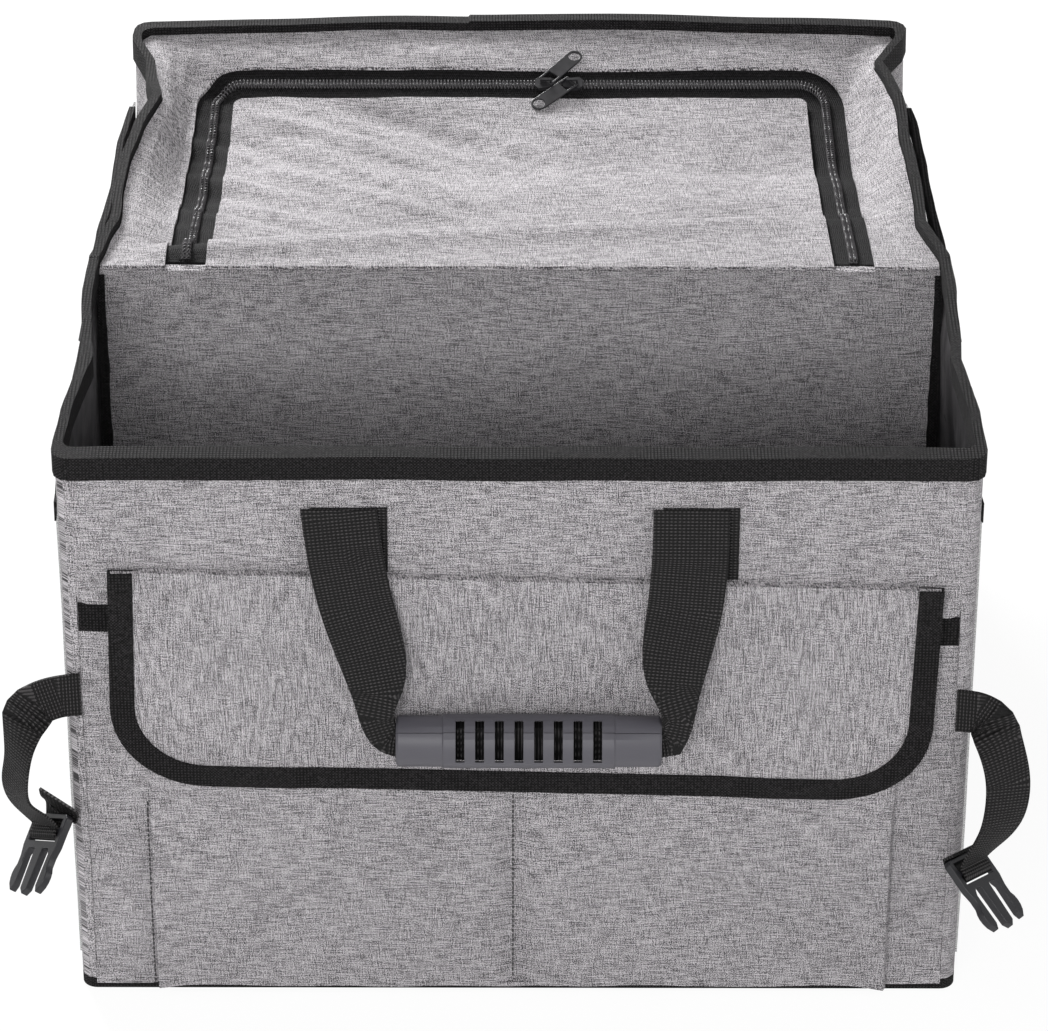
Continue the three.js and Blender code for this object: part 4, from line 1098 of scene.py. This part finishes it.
def hardware(node, name, material, body, width, segments=2):
    """A moulding or casting with its edges rounded by width millimetres."""
    shape = merged_copy(node)
    bmesh.ops.dissolve_limit(shape, angle_limit=0.01, verts=shape.verts, edges=shape.edges)
    piece = finished(shape, name, material, HARD_CORNER)
    edge = rounded_edges(piece, width, segments, HARD_EDGE)
    edge.use_clamp_overlap = True
    edge.harden_normals = True
    stands_for(piece, node, body)


for place in ("front", "rear"):
    for half in ("upper", "lower"):
        node = f"{place}_grip_{half}"
        hardware(node, f"{node}_shell", grip_plastic, f"{place}_handle", 0.5)
for side in ("left", "right"):
    plug, socket = f"{side}_buckle_plug", f"{side}_buckle_socket"
    slider, pull = f"{side}_zip_slider", f"{side}_zip_pull"
    hardware(plug, f"{side}_plug", buckle_plastic, "box", 0.9, 3)
    hardware(socket, f"{side}_socket", buckle_plastic, "box", 0.8, 3)
    hardware(f"{side}_slider", slider, zip_casting, f"{side}_slider_body", 0.35)
    hardware(f"{side}_pull", pull, zip_casting, f"{side}_pull_tab", 0.4)

# %% [markdown]
# ## Boards and floor mats
# What lies inside keeps its plain solid, with a board or lining finish, for whoever opens the box.

# %% Boards and floor mats
HIDDEN = {
    "base_board": board,
    "front_board": board,
    "rear_board": board,
    "divider_board": board,
    "front_floor_lining": lining,
    "rear_floor_lining": lining,
}
for node, material in HIDDEN.items():
    nodes[node].data.materials.clear()
    nodes[node].data.materials.append(material)
print("plain nodes finished", len(HIDDEN))

# %% [markdown]
# ## Floor and light
# The object stands on a white floor that fades into a white background and keeps its shadow. The
# light is a soft studio's: an even sky, a key lamp above and behind that lights the lid, and two
# wide, weaker lamps in front and at the right.

# %% Floor
WHITE = (1, 1, 1, 1)
FLOOR_GREY = (0.78, 0.78, 0.78, 1.0)
GLOW_STRENGTH = 1.05
GLOW_SHARE = 0.88

floor_finish = Finish("studio_floor", roughness=0.9, specular=0.0)
floor_finish.set("Base Color", FLOOR_GREY)
tree = floor_finish.tree
lit = {"Color": WHITE, "Strength": GLOW_STRENGTH}
glow = floor_finish.add("ShaderNodeEmission", {}, lit)
path = tree.nodes.new("ShaderNodeLightPath")
seen = Flow(floor_finish, path.outputs["Is Camera Ray"])
mirrored = Flow(floor_finish, path.outputs["Is Glossy Ray"])
passing = Flow(floor_finish, path.outputs["Is Transmission Ray"])
share = (seen + mirrored + passing).sum("MINIMUM", 1.0) * GLOW_SHARE
mixed = floor_finish.add("ShaderNodeMixShader", {}, {0: share, 2: glow})
tree.links.new(floor_finish.shader.outputs[0], mixed.socket.node.inputs[1])
tree.links.new(mixed.socket, tree.nodes["Material Output"].inputs["Surface"])

floor_shape = bmesh.new()
bmesh.ops.create_grid(floor_shape, x_segments=1, y_segments=1, size=6.0)
floor = finished(floor_shape, "studio_floor", floor_finish.material)

# %% Sky and lamps
SKY_ON_OBJECT = 0.42
SKY_SEEN = 1.0

world = bpy.data.worlds.new("studio_sky")
bpy.context.scene.world = world
world.use_nodes = True
sky = world.node_tree
background = sky.nodes["Background"]
ray = sky.nodes.new("ShaderNodeLightPath")
level = sky.nodes.new("ShaderNodeMapRange")
level.inputs["To Min"].default_value = SKY_ON_OBJECT
level.inputs["To Max"].default_value = SKY_SEEN
sky.links.new(ray.outputs["Is Camera Ray"], level.inputs["Value"])
sky.links.new(level.outputs[0], background.inputs["Strength"])
background.inputs["Color"].default_value = WHITE


def lamp(name, place, aim, size, watts):
    """A rectangular lamp that looks at a point of the object."""
    data = bpy.data.lights.new(name, "AREA")
    data.shape = "RECTANGLE"
    data.size, data.size_y = size
    data.energy = watts
    light = bpy.data.objects.new(name, data)
    light.location = place
    light.rotation_euler = (Vector(aim) - Vector(place)).to_track_quat("-Z", "Y").to_euler()
    bpy.context.scene.collection.objects.link(light)


lamp("rear_key", (-0.7, 1.7, 1.3), (0, 0, 0.3), (0.7, 0.6), 72)
lamp("front_soft", (-0.4, -2.5, 1.35), (0, 0, 0.2), (1.3, 0.9), 35)
lamp("right_soft", (2.2, -0.9, 1.2), (0, 0, 0.2), (1.2, 1.2), 10)
print("lights", len(bpy.data.lights))

# %% [markdown]
# ## View
# Colours are shown as they are written.

# %% View
bpy.context.scene.view_settings.view_transform = "Standard"
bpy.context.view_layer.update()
